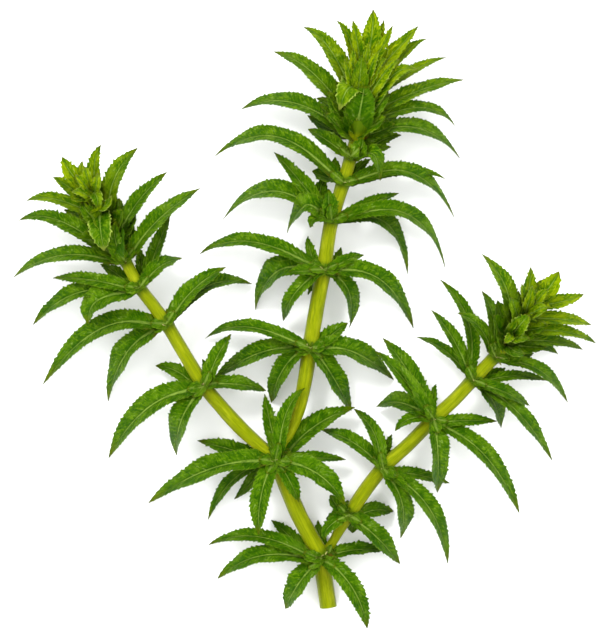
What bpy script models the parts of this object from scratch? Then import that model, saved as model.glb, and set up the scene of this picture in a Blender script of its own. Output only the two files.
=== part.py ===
"""A cut sprig of hydrilla, a water plant, lying on a flat surface.

The sprig forks twice: a main stem carries a right shoot at its first joint, and parts into
a left and a centre shoot at its second. Every joint of a stem carries a whorl of pointed,
recurved leaves on a knotted collar, and each shoot ends in a crowded leafy tip.

Frame: +Z up, +Y along the sprig from its cut end towards its tips. The origin lies on the
surface, under the middle of the sprig. Lists below are in millimetres, Blender's are metres.
"""

import math

import bmesh
import bpy
from mathutils import Matrix, Vector

MM = 0.001

# Driving dimensions, in millimetres.
LEAF_THICKNESS = 0.44
LEAF_FOLD = 0.30  # how far a blade's margins stand above its midrib
STEM_SIDES = 8
COLLAR_SIDES = 9
COLLAR_GAP = 0.50  # between a stem and the collar round it
COLLAR_WALL = 0.95
COLLAR_LENGTH = 1.8
COLLAR_CREST = 0.8  # the length of a collar's flat crest
KNOT_RADIUS = 2.0
STUB_GAP = 0.50  # between a stub and the stem that it carries
COLLAR_ROOT = 0.6  # from a collar's bore to where its leaves start
CORE_ROOT = 0.3  # from the middle of a shoot tip's core to where its leaves start
KNOT_ROOT = 1.2  # from the middle of the fork's knot to where its leaves start
THIN_SIDES = 7  # round a shoot tip's core and a stub
FACE_UP = 1.3  # how much more a blade faces up than along its stem
LEAST_LEVEL = 0.65  # a tilted blade is widened until it shows its width from above, to this share

# A blade's width at places along it, from stalk to point, as a share of its greatest.
BLADE_SHAPE = [(0.0, 0.40), (0.20, 0.86), (0.48, 1.0), (0.78, 0.64)]
BLADE_POINT = 0.05  # the thickness left just before the point, as a share

# Colours: linear red, green, blue.
STEM_GREEN = (0.34, 0.42, 0.02)
LEAF_GREEN = (0.045, 0.19, 0.01)
YOUNG_GREEN = (0.20, 0.43, 0.01)

# Stems: the middle of the stem and its radius, from the lower end up.
MAIN_STEM = [
    (4.8, -57.6, 1.74, 1.70),
    (4.0, -52.0, 2.5, 1.70),
    (3.2, -47.4, 3.4, 1.70),
    (1.1, -43.2, 4.0, 1.68),
    (-1.1, -39.1, 4.6, 1.66),
    (-3.4, -33.8, 5.3, 1.62),
    (-4.8, -30.3, 5.8, 1.55),
]
LEFT_STEM = [
    (-10.0, -24.2, 6.3, 1.36),
    (-13.2, -21.2, 6.5, 1.46),
    (-17.0, -17.0, 6.8, 1.42),
    (-20.2, -13.0, 7.0, 1.40),
    (-24.2, -6.5, 7.3, 1.34),
    (-27.7, -0.6, 7.6, 1.32),
    (-30.3, 3.0, 7.8, 1.28),
    (-33.0, 6.6, 8.0, 1.20),
    (-35.9, 12.0, 8.2, 1.14),
    (-37.4, 15.0, 8.3, 1.00),
]
CENTRE_STEM = [
    (-4.2, -24.6, 6.3, 0.80),
    (-3.0, -22.6, 6.3, 1.02),
    (-1.2, -18.0, 6.5, 1.30),
    (0.2, -11.4, 6.8, 1.48),
    (1.1, -5.4, 7.0, 1.55),
    (2.7, 4.0, 7.5, 1.52),
    (3.9, 10.2, 7.8, 1.50),
    (4.7, 16.0, 8.0, 1.44),
    (5.5, 20.2, 8.2, 1.40),
    (7.8, 27.6, 8.4, 1.34),
    (9.3, 32.8, 8.5, 1.24),
    (9.8, 35.2, 8.5, 1.10),
]
RIGHT_STEM = [
    (6.1, -43.8, 3.8, 0.95),
    (7.1, -41.8, 4.0, 1.15),
    (9.0, -38.8, 4.4, 1.34),
    (12.4, -33.8, 5.2, 1.44),
    (15.9, -29.4, 6.0, 1.42),
    (20.9, -24.8, 6.5, 1.38),
    (25.9, -19.7, 7.0, 1.38),
    (30.0, -15.9, 7.3, 1.36),
    (33.8, -11.8, 7.6, 1.34),
    (38.2, -7.2, 7.9, 1.24),
    (39.9, -5.2, 8.0, 1.10),
]

# The joints that the lowest whorl and the fork's knot sit at.
BASE_JOINT = 2
KNOT_PLACE = (-5.9, -27.8, 6.0)
KNOT_GROWTH = (-0.15, 0.98, 0.1)

# Leaves of the whorls, each as the place of its point, the place of its arch half way
# along, and its greatest width as seen from above.
LEAVES_BASE = [
    ((-19.3, -45.2, 0.0), (-9.4, -43.1, 4.6), 2.7),
    ((-17.5, -52.0, 0.0), (-8.8, -46.8, 5.0), 3.4),
    ((-6.7, -40.2, 0.6), (-3.1, -43.1, 2.0), 2.8),
    ((-3.9, -58.0, 0.8), (-1.8, -52.8, 5.6), 3.8),
    ((12.6, -62.0, 0.0), (9.9, -53.9, 5.0), 3.6),
    ((16.7, -46.2, 0.4), (10.5, -45.7, 2.8), 2.4),
    ((2.7, -40.2, 1.0), (3.1, -43.4, 1.5), 2.2),
]
LEAVES_FORK = [
    ((-21.5, -24.2, 2.4), (-14.6, -25.6, 3.6), 2.9),
    ((-31.4, -36.8, 0.0), (-19.0, -29.2, 6.5), 4.0),
    ((-19.4, -40.2, 0.0), (-15.0, -32.2, 4.5), 2.3),
    ((-14.1, -36.0, 0.6), (-10.7, -32.1, 3.2), 2.1),
    ((-9.2, -43.0, 5.8), (-8.9, -35.3, 9.4), 3.7),
    ((-1.1, -36.4, 7.6), (-2.8, -32.1, 9.4), 2.8),
    ((8.1, -37.0, 8.4), (3.1, -30.5, 9.0), 4.0),
    ((8.3, -28.0, 3.6), (2.1, -27.3, 6.0), 2.1),
    ((10.1, -17.5, 4.8), (1.6, -21.0, 4.6), 3.8),
    ((-8.0, -14.8, 5.0), (-6.9, -20.3, 5.6), 2.8),
    ((0.1, -13.6, 9.2), (-3.9, -18.7, 8.8), 2.8),
]
LEAVES_LEFT_1 = [
    ((-29.9, -9.2, 2.6), (-25.4, -10.2, 5.2), 2.8),
    ((-39.4, -27.8, 0.0), (-31.9, -17.2, 6.5), 4.1),
    ((-25.7, -27.2, 1.2), (-25.4, -20.2, 9.0), 3.8),
    ((-14.7, -2.8, 6.0), (-17.8, -7.3, 8.5), 2.9),
    ((-20.5, -7.8, 4.6), (-19.7, -9.8, 4.6), 1.6),
    ((-7.7, -14.2, 2.6), (-12.9, -12.5, 7.0), 2.7),
]
LEAVES_LEFT_2 = [
    ((-52.6, -13.0, 0.0), (-41.2, -1.3, 6.0), 3.9),
    ((-39.5, -16.4, 0.0), (-36.5, -6.6, 6.0), 3.9),
    ((-15.7, 10.6, 6.0), (-22.4, 6.5, 8.5), 3.2),
    ((-10.5, 7.2, 1.0), (-19.1, 7.4, 6.0), 2.9),
    ((-26.9, 3.6, 5.0), (-26.5, 1.8, 5.0), 1.6),
]
LEAVES_LEFT_3 = [
    ((-50.5, 8.4, 3.0), (-42.9, 8.3, 7.5), 2.6),
    ((-54.6, -1.0, 0.0), (-46.0, 5.7, 5.6), 3.1),
    ((-43.3, -0.8, 7.0), (-41.7, 4.4, 8.8), 4.6),
    ((-24.5, 12.4, 5.0), (-28.9, 11.2, 8.5), 2.8),
    ((-26.9, 21.0, 4.4), (-29.7, 14.8, 6.0), 2.7),
    ((-40.9, 11.2, 3.6), (-37.9, 9.6, 5.4), 2.6),
    ((-33.3, 14.8, 5.0), (-32.7, 11.2, 5.2), 2.2),
]
LEAVES_LEFT_4 = [
    ((-58.5, 8.6, 0.0), (-48.9, 13.3, 6.5), 2.8),
    ((-57.3, 19.9, 3.4), (-48.6, 20.0, 8.0), 3.3),
    ((-20.9, 26.4, 4.6), (-29.4, 20.5, 9.0), 3.2),
    ((-37.6, 19.8, 12.4), (-37.8, 15.4, 11.6), 3.2),
    ((-35.6, 21.2, 5.6), (-35.1, 17.2, 6.6), 2.6),
]
LEAVES_CENTRE_1 = [
    ((-19.9, -3.7, 1.2), (-11.4, -1.0, 7.0), 2.5),
    ((-18.5, -12.4, 0.8), (-10.3, -6.5, 5.6), 3.3),
    ((-6.7, -16.6, 0.0), (-5.0, -10.3, 6.2), 3.4),
    ((9.4, -18.2, 0.6), (6.3, -11.2, 7.2), 3.6),
    ((17.9, -12.0, 0.3), (10.3, -5.9, 6.4), 3.9),
    ((8.7, -0.6, 5.0), (5.6, -2.5, 6.4), 3.0),
]
LEAVES_CENTRE_2 = [
    ((-21.1, 13.2, 1.0), (-10.7, 16.1, 7.0), 2.9),
    ((-9.9, 2.0, 0.0), (-6.5, 9.9, 6.0), 4.2),
    ((-3.1, 9.6, 12.4), (-0.7, 10.0, 11.4), 2.2),
    ((-4.3, -0.2, 2.6), (-2.3, 5.3, 9.6), 2.8),
    ((0.7, 5.0, 3.4), (1.9, 8.0, 4.2), 1.6),
    ((9.0, -1.6, 1.0), (9.6, 5.0, 6.6), 3.0),
    ((21.9, -1.7, 0.0), (15.7, 8.4, 7.0), 3.5),
    ((7.3, 14.6, 5.4), (6.6, 12.6, 5.2), 1.8),
    ((11.9, 13.0, 6.0), (8.7, 12.3, 8.0), 2.2),
    ((0.7, 16.8, 6.0), (1.1, 14.3, 7.0), 1.9),
]
LEAVES_CENTRE_3 = [
    ((-16.5, 20.0, 0.8), (-7.0, 26.4, 7.0), 3.5),
    ((-6.1, 33.6, 5.0), (-0.9, 28.2, 8.0), 3.0),
    ((-3.5, 17.4, 6.0), (-0.1, 23.4, 11.0), 3.7),
    ((1.1, 18.4, 10.6), (2.0, 20.4, 12.0), 2.0),
    ((4.9, 26.0, 12.2), (5.1, 23.2, 11.8), 3.0),
    ((4.3, 28.6, 4.6), (3.2, 25.2, 5.6), 3.4),
    ((18.9, 25.4, 5.0), (13.4, 23.6, 7.5), 2.4),
    ((28.3, 10.4, 0.0), (20.9, 21.6, 7.0), 3.0),
    ((20.7, 9.2, 0.0), (16.9, 19.6, 5.4), 2.9),
]
LEAVES_CENTRE_4 = [
    ((-18.1, 32.8, 0.8), (-5.8, 37.2, 7.5), 3.3),
    ((30.1, 20.6, 0.0), (21.5, 29.9, 7.0), 2.9),
    ((28.3, 28.2, 3.5), (20.5, 30.0, 5.4), 2.0),
    ((13.3, 32.2, 5.6), (11.0, 30.6, 6.2), 2.0),
    ((6.1, 32.6, 6.6), (6.2, 30.6, 7.0), 2.0),
    ((1.5, 29.8, 5.0), (3.9, 29.2, 5.6), 2.8),
]
LEAVES_CENTRE_5 = [
    ((0.7, 38.2, 7.2), (4.6, 36.3, 9.2), 2.9),
    ((15.1, 27.8, 10.4), (14.0, 33.3, 13.0), 2.7),
    ((17.3, 34.6, 6.4), (14.1, 34.2, 7.6), 2.1),
    ((11.3, 36.4, 12.6), (11.0, 34.4, 11.6), 3.2),
    ((19.4, 37.0, 4.6), (15.2, 36.1, 5.6), 2.6),
]
LEAVES_RIGHT_1 = [
    ((17.9, -38.4, 0.6), (13.9, -37.9, 3.3), 2.9),
    ((19.2, -49.0, 0.6), (14.8, -43.1, 5.8), 3.5),
    ((5.2, -35.0, 4.4), (6.5, -36.7, 5.4), 2.6),
    ((4.1, -44.0, 6.4), (4.8, -41.4, 7.2), 2.4),
    ((9.6, -42.8, 1.2), (9.9, -41.0, 1.9), 2.4),
    ((4.3, -39.8, 3.0), (5.9, -39.4, 4.2), 2.6),
]
LEAVES_RIGHT_2 = [
    ((3.2, -22.0, 2.5), (9.6, -23.9, 6.5), 2.8),
    ((9.9, -17.8, 2.8), (14.1, -22.3, 6.5), 2.6),
    ((17.5, -22.9, 4.2), (16.5, -25.2, 3.8), 2.0),
    ((29.2, -32.8, 0.4), (23.0, -30.8, 5.0), 2.2),
    ((28.8, -49.0, 0.0), (25.5, -37.6, 6.0), 3.1),
    ((19.3, -43.9, 0.6), (20.1, -36.9, 7.6), 3.3),
]
LEAVES_RIGHT_3 = [
    ((15.7, -3.6, 3.4), (21.2, -10.2, 7.6), 3.4),
    ((14.1, -6.2, 7.8), (19.8, -11.2, 9.4), 2.8),
    ((14.4, -17.5, 2.0), (18.9, -15.9, 6.4), 3.5),
    ((18.1, -22.2, 7.6), (20.9, -19.6, 9.2), 2.1),
    ((26.4, -12.8, 6.0), (25.8, -14.8, 7.0), 1.7),
    ((38.6, -20.3, 3.6), (32.3, -19.9, 6.5), 2.3),
    ((43.2, -38.9, 0.0), (36.8, -27.1, 6.0), 3.3),
    ((26.7, -34.6, 2.0), (27.2, -27.1, 9.5), 3.5),
]
LEAVES_RIGHT_4 = [
    ((22.3, -3.4, 3.0), (27.9, -5.6, 7.5), 1.9),
    ((25.4, 2.0, 4.0), (29.9, -3.4, 8.0), 2.5),
    ((27.1, 8.2, 2.4), (33.1, -0.3, 6.4), 2.6),
    ((48.7, -12.2, 0.6), (42.1, -11.0, 5.2), 1.9),
    ((45.2, -17.2, 2.4), (40.6, -14.3, 7.4), 2.4),
    ((49.8, -28.3, 0.0), (43.4, -18.5, 6.0), 2.8),
    ((39.5, -21.8, 0.4), (38.7, -16.7, 5.6), 3.2),
    ((40.3, -9.6, 3.6), (37.9, -10.8, 4.8), 2.2),
]
LEAVES_RIGHT_5 = [
    ((30.5, 1.4, 8.4), (35.1, -1.1, 10.0), 2.3),
    ((35.5, 5.8, 5.0), (38.0, 0.5, 8.0), 2.7),
    ((52.9, -16.6, 0.0), (47.5, -9.9, 6.4), 2.4),
    ((45.9, -6.6, 5.2), (43.3, -7.2, 7.0), 2.1),
    ((50.9, -6.9, 1.6), (46.0, -5.0, 5.6), 2.3),
]

# Shoot tips: the core of each, as a stem is given, and its leaves. A leaf there starts
# with how far up the core it grows, as a share of the core's length.
LEFT_TIP_CORE = [(-37.7, 15.6, 8.3, 0.95), (-40.9, 22.0, 8.8, 1.0), (-43.9, 28.0, 9.2, 0.6)]
LEFT_TIP_LEAVES = [
    (0.05, (-27.5, 29.6, 6.4), (-33.5, 23.9, 8.5), 2.9),
    (0.30, (-33.3, 34.4, 8.5), (-38.4, 28.1, 10.0), 3.5),
    (0.60, (-40.6, 35.0, 10.0), (-42.2, 30.0, 10.5), 2.8),
    (0.95, (-44.3, 31.7, 11.4), (-44.4, 29.6, 11.0), 1.7),
    (0.80, (-48.4, 32.6, 8.5), (-46.4, 29.2, 9.5), 3.3),
    (0.60, (-50.3, 28.6, 7.0), (-47.1, 26.8, 8.0), 2.8),
    (0.40, (-55.7, 23.8, 5.0), (-49.7, 24.4, 7.5), 2.5),
    (0.50, (-39.9, 13.8, 12.0), (-40.7, 18.4, 13.4), 4.4),
    (0.70, (-40.4, 24.0, 13.0), (-41.0, 22.6, 11.8), 2.6),
    (0.85, (-46.6, 24.4, 12.2), (-44.8, 24.4, 11.6), 2.4),
    (0.40, (-48.2, 22.1, 4.0), (-44.9, 21.3, 5.4), 2.8),
]
CENTRE_TIP_CORE = [(9.9, 35.9, 8.5, 1.05), (10.5, 42.0, 8.8, 1.1), (11.7, 50.0, 9.2, 0.6)]
CENTRE_TIP_LEAVES = [
    (0.05, (-12.9, 42.2, 1.6), (-2.2, 43.9, 8.0), 3.2),
    (0.02, (31.3, 32.4, 0.0), (22.4, 38.9, 7.0), 2.8),
    (0.18, (30.3, 38.8, 2.4), (22.8, 42.8, 7.5), 2.4),
    (0.20, (-6.3, 53.8, 4.0), (2.3, 49.3, 9.0), 3.5),
    (0.50, (-0.2, 58.6, 6.5), (5.6, 53.9, 9.5), 3.5),
    (0.80, (6.4, 59.8, 9.5), (9.3, 55.5, 10.5), 2.4),
    (0.95, (9.6, 59.8, 11.0), (10.6, 55.6, 11.8), 2.3),
    (0.98, (13.7, 62.0, 9.5), (13.4, 56.6, 10.0), 3.8),
    (0.98, (15.9, 60.0, 9.0), (14.5, 55.4, 9.0), 2.2),
    (0.90, (17.6, 58.8, 9.8), (15.4, 54.6, 10.8), 2.1),
    (0.80, (22.8, 58.8, 7.5), (18.9, 54.8, 9.0), 2.9),
    (0.65, (24.5, 56.2, 6.5), (19.7, 53.4, 8.5), 2.4),
    (0.50, (28.5, 52.6, 5.0), (20.8, 49.7, 8.0), 2.1),
    (0.30, (32.1, 48.2, 2.4), (22.5, 46.1, 7.5), 2.8),
    (0.60, (6.9, 41.8, 13.0), (9.0, 45.2, 14.4), 3.6),
    (0.60, (22.7, 49.6, 11.0), (17.7, 48.8, 12.4), 2.6),
    (0.75, (12.3, 53.0, 14.0), (11.9, 50.6, 13.0), 3.0),
    (0.20, (2.4, 44.4, 5.0), (6.4, 42.6, 6.4), 3.0),
    (0.20, (18.6, 40.8, 4.4), (14.4, 40.0, 6.0), 3.0),
    (0.10, (13.3, 45.8, 13.8), (11.2, 41.8, 13.4), 4.6),
    (0.02, (0.6, 41.0, 3.8), (4.9, 38.8, 5.4), 3.0),
]
RIGHT_TIP_CORE = [(40.1, -4.8, 8.0, 1.05), (43.1, 0.0, 8.5, 1.0), (47.0, 5.0, 9.2, 0.6)]
RIGHT_TIP_LEAVES = [
    (0.15, (35.5, 13.2, 5.2), (40.8, 5.9, 9.0), 3.2),
    (0.50, (45.2, 10.6, 8.0), (44.9, 6.2, 10.0), 2.7),
    (0.98, (50.8, 9.7, 10.0), (48.9, 6.6, 10.6), 3.7),
    (0.80, (47.9, 8.4, 7.0), (47.3, 6.4, 7.6), 2.0),
    (0.80, (55.9, 5.2, 6.5), (51.8, 4.0, 8.5), 2.6),
    (0.55, (57.5, -1.0, 4.0), (51.9, 0.4, 7.5), 2.5),
    (0.30, (58.5, -4.7, 2.4), (52.1, -2.1, 7.5), 2.2),
    (0.10, (55.9, -6.0, 0.6), (50.4, -4.1, 5.6), 2.2),
    (0.30, (44.7, 1.2, 13.0), (43.3, -1.4, 12.4), 3.0),
    (0.10, (42.9, -3.0, 12.4), (41.7, -4.4, 11.2), 2.2),
    (0.70, (49.1, 2.6, 12.6), (47.3, 2.6, 11.8), 2.6),
    (0.10, (38.9, 0.9, 4.6), (39.5, -1.8, 6.0), 2.4),
]


def material(name, colour, roughness):
    """A plain plant finish."""
    made = bpy.data.materials.new(name)
    made.use_nodes = True
    shader = made.node_tree.nodes["Principled BSDF"]
    shader.inputs["Base Color"].default_value = (*colour, 1.0)
    shader.inputs["Roughness"].default_value = roughness
    shader.inputs["Metallic"].default_value = 0.0
    return made


def make_object(name, bm, finish):
    """An object at the origin with the mesh that was modelled, in metres."""
    bmesh.ops.recalc_face_normals(bm, faces=bm.faces)
    bmesh.ops.scale(bm, vec=(MM, MM, MM), verts=bm.verts)
    mesh = bpy.data.meshes.new(name)
    bm.to_mesh(mesh)
    bm.free()
    mesh.materials.append(finish)
    made = bpy.data.objects.new(name, mesh)
    bpy.context.scene.collection.objects.link(made)
    return made


def frame_at(place, along, face, half_width, half_height):
    """The matrix that sets a flat unit section at a place, square to a direction."""
    across = face.cross(along).normalized()
    upright = along.cross(across).normalized()
    turned = Matrix((across * half_width, upright * half_height, along)).transposed()
    return Matrix.Translation(place) @ turned.to_4x4()


def extrude_rim(bm, rim):
    """Extrudes an open rim, and gives the new rim's points and edges."""
    grown = bmesh.ops.extrude_edge_only(bm, edges=rim)["geom"]
    ring = [part for part in grown if isinstance(part, bmesh.types.BMVert)]
    edges = [part for part in grown if isinstance(part, bmesh.types.BMEdge)]
    return ring, [edge for edge in edges if set(edge.verts) <= set(ring)]


def draw_out(bm, sides, frames, fold=0.0, point=None):
    """A closed solid: one section drawn through every frame, and to a point if given."""
    ring = bmesh.ops.create_circle(bm, cap_ends=False, radius=1.0, segments=sides)["verts"]
    margins = [vert for vert in ring if abs(vert.co.x) > 0.5]
    bmesh.ops.translate(bm, verts=margins, vec=(0.0, fold, 0.0))
    bmesh.ops.transform(bm, matrix=frames[0], verts=ring)
    rim = list({edge for vert in ring for edge in vert.link_edges})
    for before, after in zip(frames, frames[1:]):
        ring, rim = extrude_rim(bm, rim)
        bmesh.ops.transform(bm, matrix=after @ before.inverted(), verts=ring)
    if point is not None:
        ring, rim = extrude_rim(bm, rim)
        bmesh.ops.pointmerge(bm, verts=ring, merge_co=point)
    bmesh.ops.holes_fill(bm, edges=bm.edges, sides=0)


def direction_at(route, index):
    """The way that a route runs at one of its points."""
    before = Vector(route[max(index - 1, 0)][:3])
    after = Vector(route[min(index + 1, len(route) - 1)][:3])
    return (after - before).normalized()


def stem_frames(route):
    """A round section at each point of a route, at the route's radius there."""
    up = Vector((0.0, 0.0, 1.0))
    frames = []
    for index, (x, y, z, radius) in enumerate(route):
        along = direction_at(route, index)
        frames.append(frame_at(Vector((x, y, z)), along, up, radius, radius))
    return frames


def stem(name, route, finish):
    bm = bmesh.new()
    draw_out(bm, STEM_SIDES, stem_frames(route))
    made = make_object(name, bm, finish)
    made.data.shade_smooth()
    return made


def blade(name, base, arch, tip, width, growth, finish):
    """A leaf: a shallow V section drawn along an arched midrib to a fine point."""
    bend = arch * 2.0 - (base + tip) * 0.5
    middle = (tip - base).normalized()
    facing = growth + Vector((0.0, 0.0, FACE_UP))
    facing = (facing - middle * facing.dot(middle)).normalized()
    frames = []
    for share, breadth in BLADE_SHAPE:
        rest = 1.0 - share
        place = base * rest * rest + bend * 2.0 * rest * share + tip * share * share
        along = ((bend - base) * rest + (tip - bend) * share).normalized()
        turned = middle.rotation_difference(along) @ facing
        level = turned.cross(along).normalized().to_2d().length
        half_width = 0.5 * width * breadth / max(level, LEAST_LEVEL)
        half_height = 0.5 * LEAF_THICKNESS * (BLADE_POINT + breadth)
        frames.append(frame_at(place, along, turned, half_width, half_height))
    bm = bmesh.new()
    draw_out(bm, 4, frames, LEAF_FOLD / (0.5 * LEAF_THICKNESS), tip)
    return make_object(name, bm, finish)


def outward(centre, growth, towards):
    """The direction square to a stem that points most nearly at a place."""
    away = towards - centre
    return (away - growth * away.dot(growth)).normalized()


def fuse(body, parts):
    """Joins parts to the body that they grow from, as one closed solid."""
    held = bpy.data.collections.new(body.name + "_parts")
    bpy.context.scene.collection.children.link(held)
    for part in parts:
        bpy.context.scene.collection.objects.unlink(part)
        held.objects.link(part)
        part.hide_render = True
        part.display_type = "WIRE"
    union = body.modifiers.new("grown_together", "BOOLEAN")
    union.operation = "UNION"
    union.operand_type = "COLLECTION"
    union.collection = held
    union.solver = "EXACT"


def collar_body(name, centre, growth, inner, finish):
    """A knotted ring round a stem: its wall's section, spun about the stem."""
    half = 0.5 * COLLAR_LENGTH
    crest = 0.5 * COLLAR_CREST
    outer = inner + COLLAR_WALL
    section = [(inner, -half), (outer, -crest), (outer, crest), (inner, half)]
    bm = bmesh.new()
    verts = [bm.verts.new((radius, 0.0, height)) for radius, height in section]
    wall = [bm.edges.new(pair) for pair in zip(verts, verts[1:] + verts[:1])]
    bmesh.ops.spin(
        bm,
        geom=[*verts, *wall],
        axis=(0.0, 0.0, 1.0),
        cent=(0.0, 0.0, 0.0),
        steps=COLLAR_SIDES,
        angle=math.tau,
        use_merge=True,
    )
    turn = growth.to_track_quat("Z", "Y").to_matrix().to_4x4()
    bmesh.ops.transform(bm, matrix=Matrix.Translation(centre) @ turn, verts=bm.verts)
    return make_object(name, bm, finish)


def whorl(name, route, index, rows, finish):
    """A collar round a joint of a stem, with the joint's leaves grown from it."""
    centre = Vector(route[index][:3])
    growth = direction_at(route, index)
    inner = route[index][3] + COLLAR_GAP
    body = collar_body(name, centre, growth, inner, finish)
    leaves = []
    for number, (tip, arch, width) in enumerate(rows, 1):
        out = outward(centre, growth, Vector(arch))
        base = centre + out * (inner + COLLAR_ROOT)
        leaf = blade(f"{name}_leaf_{number}", base, Vector(arch), Vector(tip), width, growth, finish)
        leaves.append(leaf)
    return body, leaves


def shoot_tip(name, core, rows, finish):
    """A tapering core with the young leaves crowded on it."""
    bm = bmesh.new()
    draw_out(bm, THIN_SIDES, stem_frames(core))
    body = make_object(name, bm, finish)
    start = Vector(core[0][:3])
    end = Vector(core[-1][:3])
    growth = (end - start).normalized()
    leaves = []
    for number, (share, tip, arch, width) in enumerate(rows, 1):
        centre = start.lerp(end, share)
        out = outward(centre, growth, Vector(arch))
        base = centre + out * CORE_ROOT
        leaf = blade(f"{name}_leaf_{number}", base, Vector(arch), Vector(tip), width, growth, finish)
        leaves.append(leaf)
    fuse(body, leaves)


def stub(name, start, route, finish):
    """A short peg from a joint towards the stem that grows there, stopping just short."""
    shoot = Vector(route[0][:3])
    radius = route[0][3]
    growth = direction_at(route, 0)
    end = shoot - growth * STUB_GAP
    up = Vector((0.0, 0.0, 1.0))
    near = frame_at(start, (end - start).normalized(), up, radius, radius)
    far = frame_at(end, growth, up, radius, radius)
    bm = bmesh.new()
    draw_out(bm, THIN_SIDES, [near, far])
    return make_object(name, bm, finish)


def fork_whorl(name, finish):
    """The solid knot where the main stem parts in two, with its leaves and two stubs."""
    centre = Vector(KNOT_PLACE)
    growth = Vector(KNOT_GROWTH).normalized()
    bm = bmesh.new()
    bmesh.ops.create_icosphere(bm, subdivisions=2, radius=KNOT_RADIUS)
    bmesh.ops.translate(bm, verts=bm.verts, vec=centre)
    body = make_object(name, bm, finish)
    parts = []
    for number, (tip, arch, width) in enumerate(LEAVES_FORK, 1):
        base = centre + outward(centre, growth, Vector(arch)) * KNOT_ROOT
        leaf = blade(f"{name}_leaf_{number}", base, Vector(arch), Vector(tip), width, growth, finish)
        parts.append(leaf)
    parts.append(stub(name + "_left_stub", centre, LEFT_STEM, finish))
    parts.append(stub(name + "_centre_stub", centre, CENTRE_STEM, finish))
    fuse(body, parts)


def base_whorl(name, finish):
    """The lowest whorl, whose collar also carries the stub that the right shoot grows from."""
    body, leaves = whorl(name, MAIN_STEM, BASE_JOINT, LEAVES_BASE, finish)
    joint = Vector(MAIN_STEM[BASE_JOINT][:3])
    out = outward(joint, direction_at(MAIN_STEM, BASE_JOINT), Vector(RIGHT_STEM[0][:3]))
    start = joint + out * (MAIN_STEM[BASE_JOINT][3] + COLLAR_GAP + COLLAR_ROOT)
    fuse(body, [*leaves, stub(name + "_stub", start, RIGHT_STEM, finish)])


def build():
    for old in list(bpy.data.objects):
        bpy.data.objects.remove(old, do_unlink=True)
    stalk = material("stem_green", STEM_GREEN, 0.35)
    green = material("leaf_green", LEAF_GREEN, 0.45)
    young = material("young_leaf_green", YOUNG_GREEN, 0.42)

    stem("main_stem", MAIN_STEM, stalk)
    stem("left_stem", LEFT_STEM, stalk)
    stem("centre_stem", CENTRE_STEM, stalk)
    stem("right_stem", RIGHT_STEM, stalk)

    base_whorl("leaf_whorl_base", green)
    fork_whorl("leaf_whorl_fork", green)
    joints = [
        ("leaf_whorl_left_1", LEFT_STEM, 3, LEAVES_LEFT_1),
        ("leaf_whorl_left_2", LEFT_STEM, 5, LEAVES_LEFT_2),
        ("leaf_whorl_left_3", LEFT_STEM, 7, LEAVES_LEFT_3),
        ("leaf_whorl_left_4", LEFT_STEM, 8, LEAVES_LEFT_4),
        ("leaf_whorl_centre_1", CENTRE_STEM, 4, LEAVES_CENTRE_1),
        ("leaf_whorl_centre_2", CENTRE_STEM, 6, LEAVES_CENTRE_2),
        ("leaf_whorl_centre_3", CENTRE_STEM, 8, LEAVES_CENTRE_3),
        ("leaf_whorl_centre_4", CENTRE_STEM, 9, LEAVES_CENTRE_4),
        ("leaf_whorl_centre_5", CENTRE_STEM, 10, LEAVES_CENTRE_5),
        ("leaf_whorl_right_1", RIGHT_STEM, 2, LEAVES_RIGHT_1),
        ("leaf_whorl_right_2", RIGHT_STEM, 4, LEAVES_RIGHT_2),
        ("leaf_whorl_right_3", RIGHT_STEM, 6, LEAVES_RIGHT_3),
        ("leaf_whorl_right_4", RIGHT_STEM, 8, LEAVES_RIGHT_4),
        ("leaf_whorl_right_5", RIGHT_STEM, 9, LEAVES_RIGHT_5),
    ]
    for name, route, index, rows in joints:
        fuse(*whorl(name, route, index, rows, green))

    shoot_tip("shoot_tip_left", LEFT_TIP_CORE, LEFT_TIP_LEAVES, young)
    shoot_tip("shoot_tip_centre", CENTRE_TIP_CORE, CENTRE_TIP_LEAVES, young)
    shoot_tip("shoot_tip_right", RIGHT_TIP_CORE, RIGHT_TIP_LEAVES, young)


build()
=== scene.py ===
# %% [markdown]
# # A cut sprig of hydrilla
#
# Hydrilla is a water plant. Its stems fork, and at each joint of a stem a whorl of narrow,
# toothed leaves grows all round. The sprig here lies on a pale table, seen from straight above.
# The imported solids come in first: they say where each stem, whorl and shoot tip is.

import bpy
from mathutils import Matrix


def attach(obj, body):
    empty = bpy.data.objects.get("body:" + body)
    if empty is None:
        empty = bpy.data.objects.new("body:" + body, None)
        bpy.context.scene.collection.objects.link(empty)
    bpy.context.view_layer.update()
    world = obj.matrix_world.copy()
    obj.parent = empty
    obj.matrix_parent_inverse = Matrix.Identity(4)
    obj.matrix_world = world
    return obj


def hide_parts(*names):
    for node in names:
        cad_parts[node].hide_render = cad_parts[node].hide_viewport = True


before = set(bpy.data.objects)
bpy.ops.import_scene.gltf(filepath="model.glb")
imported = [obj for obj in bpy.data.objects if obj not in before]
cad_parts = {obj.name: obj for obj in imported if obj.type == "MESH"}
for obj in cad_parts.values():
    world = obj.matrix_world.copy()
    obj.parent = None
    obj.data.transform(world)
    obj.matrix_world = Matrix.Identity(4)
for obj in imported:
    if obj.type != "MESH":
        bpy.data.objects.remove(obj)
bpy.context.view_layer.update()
print("solids:", len(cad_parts))

# %% Tools and units
import math
import random

import bmesh
import bpy
from mathutils import Matrix, Vector, noise

MM = 0.001
UP = Vector((0.0, 0.0, 1.0))
print("shapes are modelled in millimetres and scaled by", MM, "at the end")

# %% [markdown]
# ## Helpers for finishes
#
# Each finish is a small tree of nodes. In the editor they are added and joined by hand, but here
# one finish needs more than a hundred. These helpers keep a line of the lesson to one idea: add
# a node, do a sum, mix two colours, or read a measure that was stored on the mesh.

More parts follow.
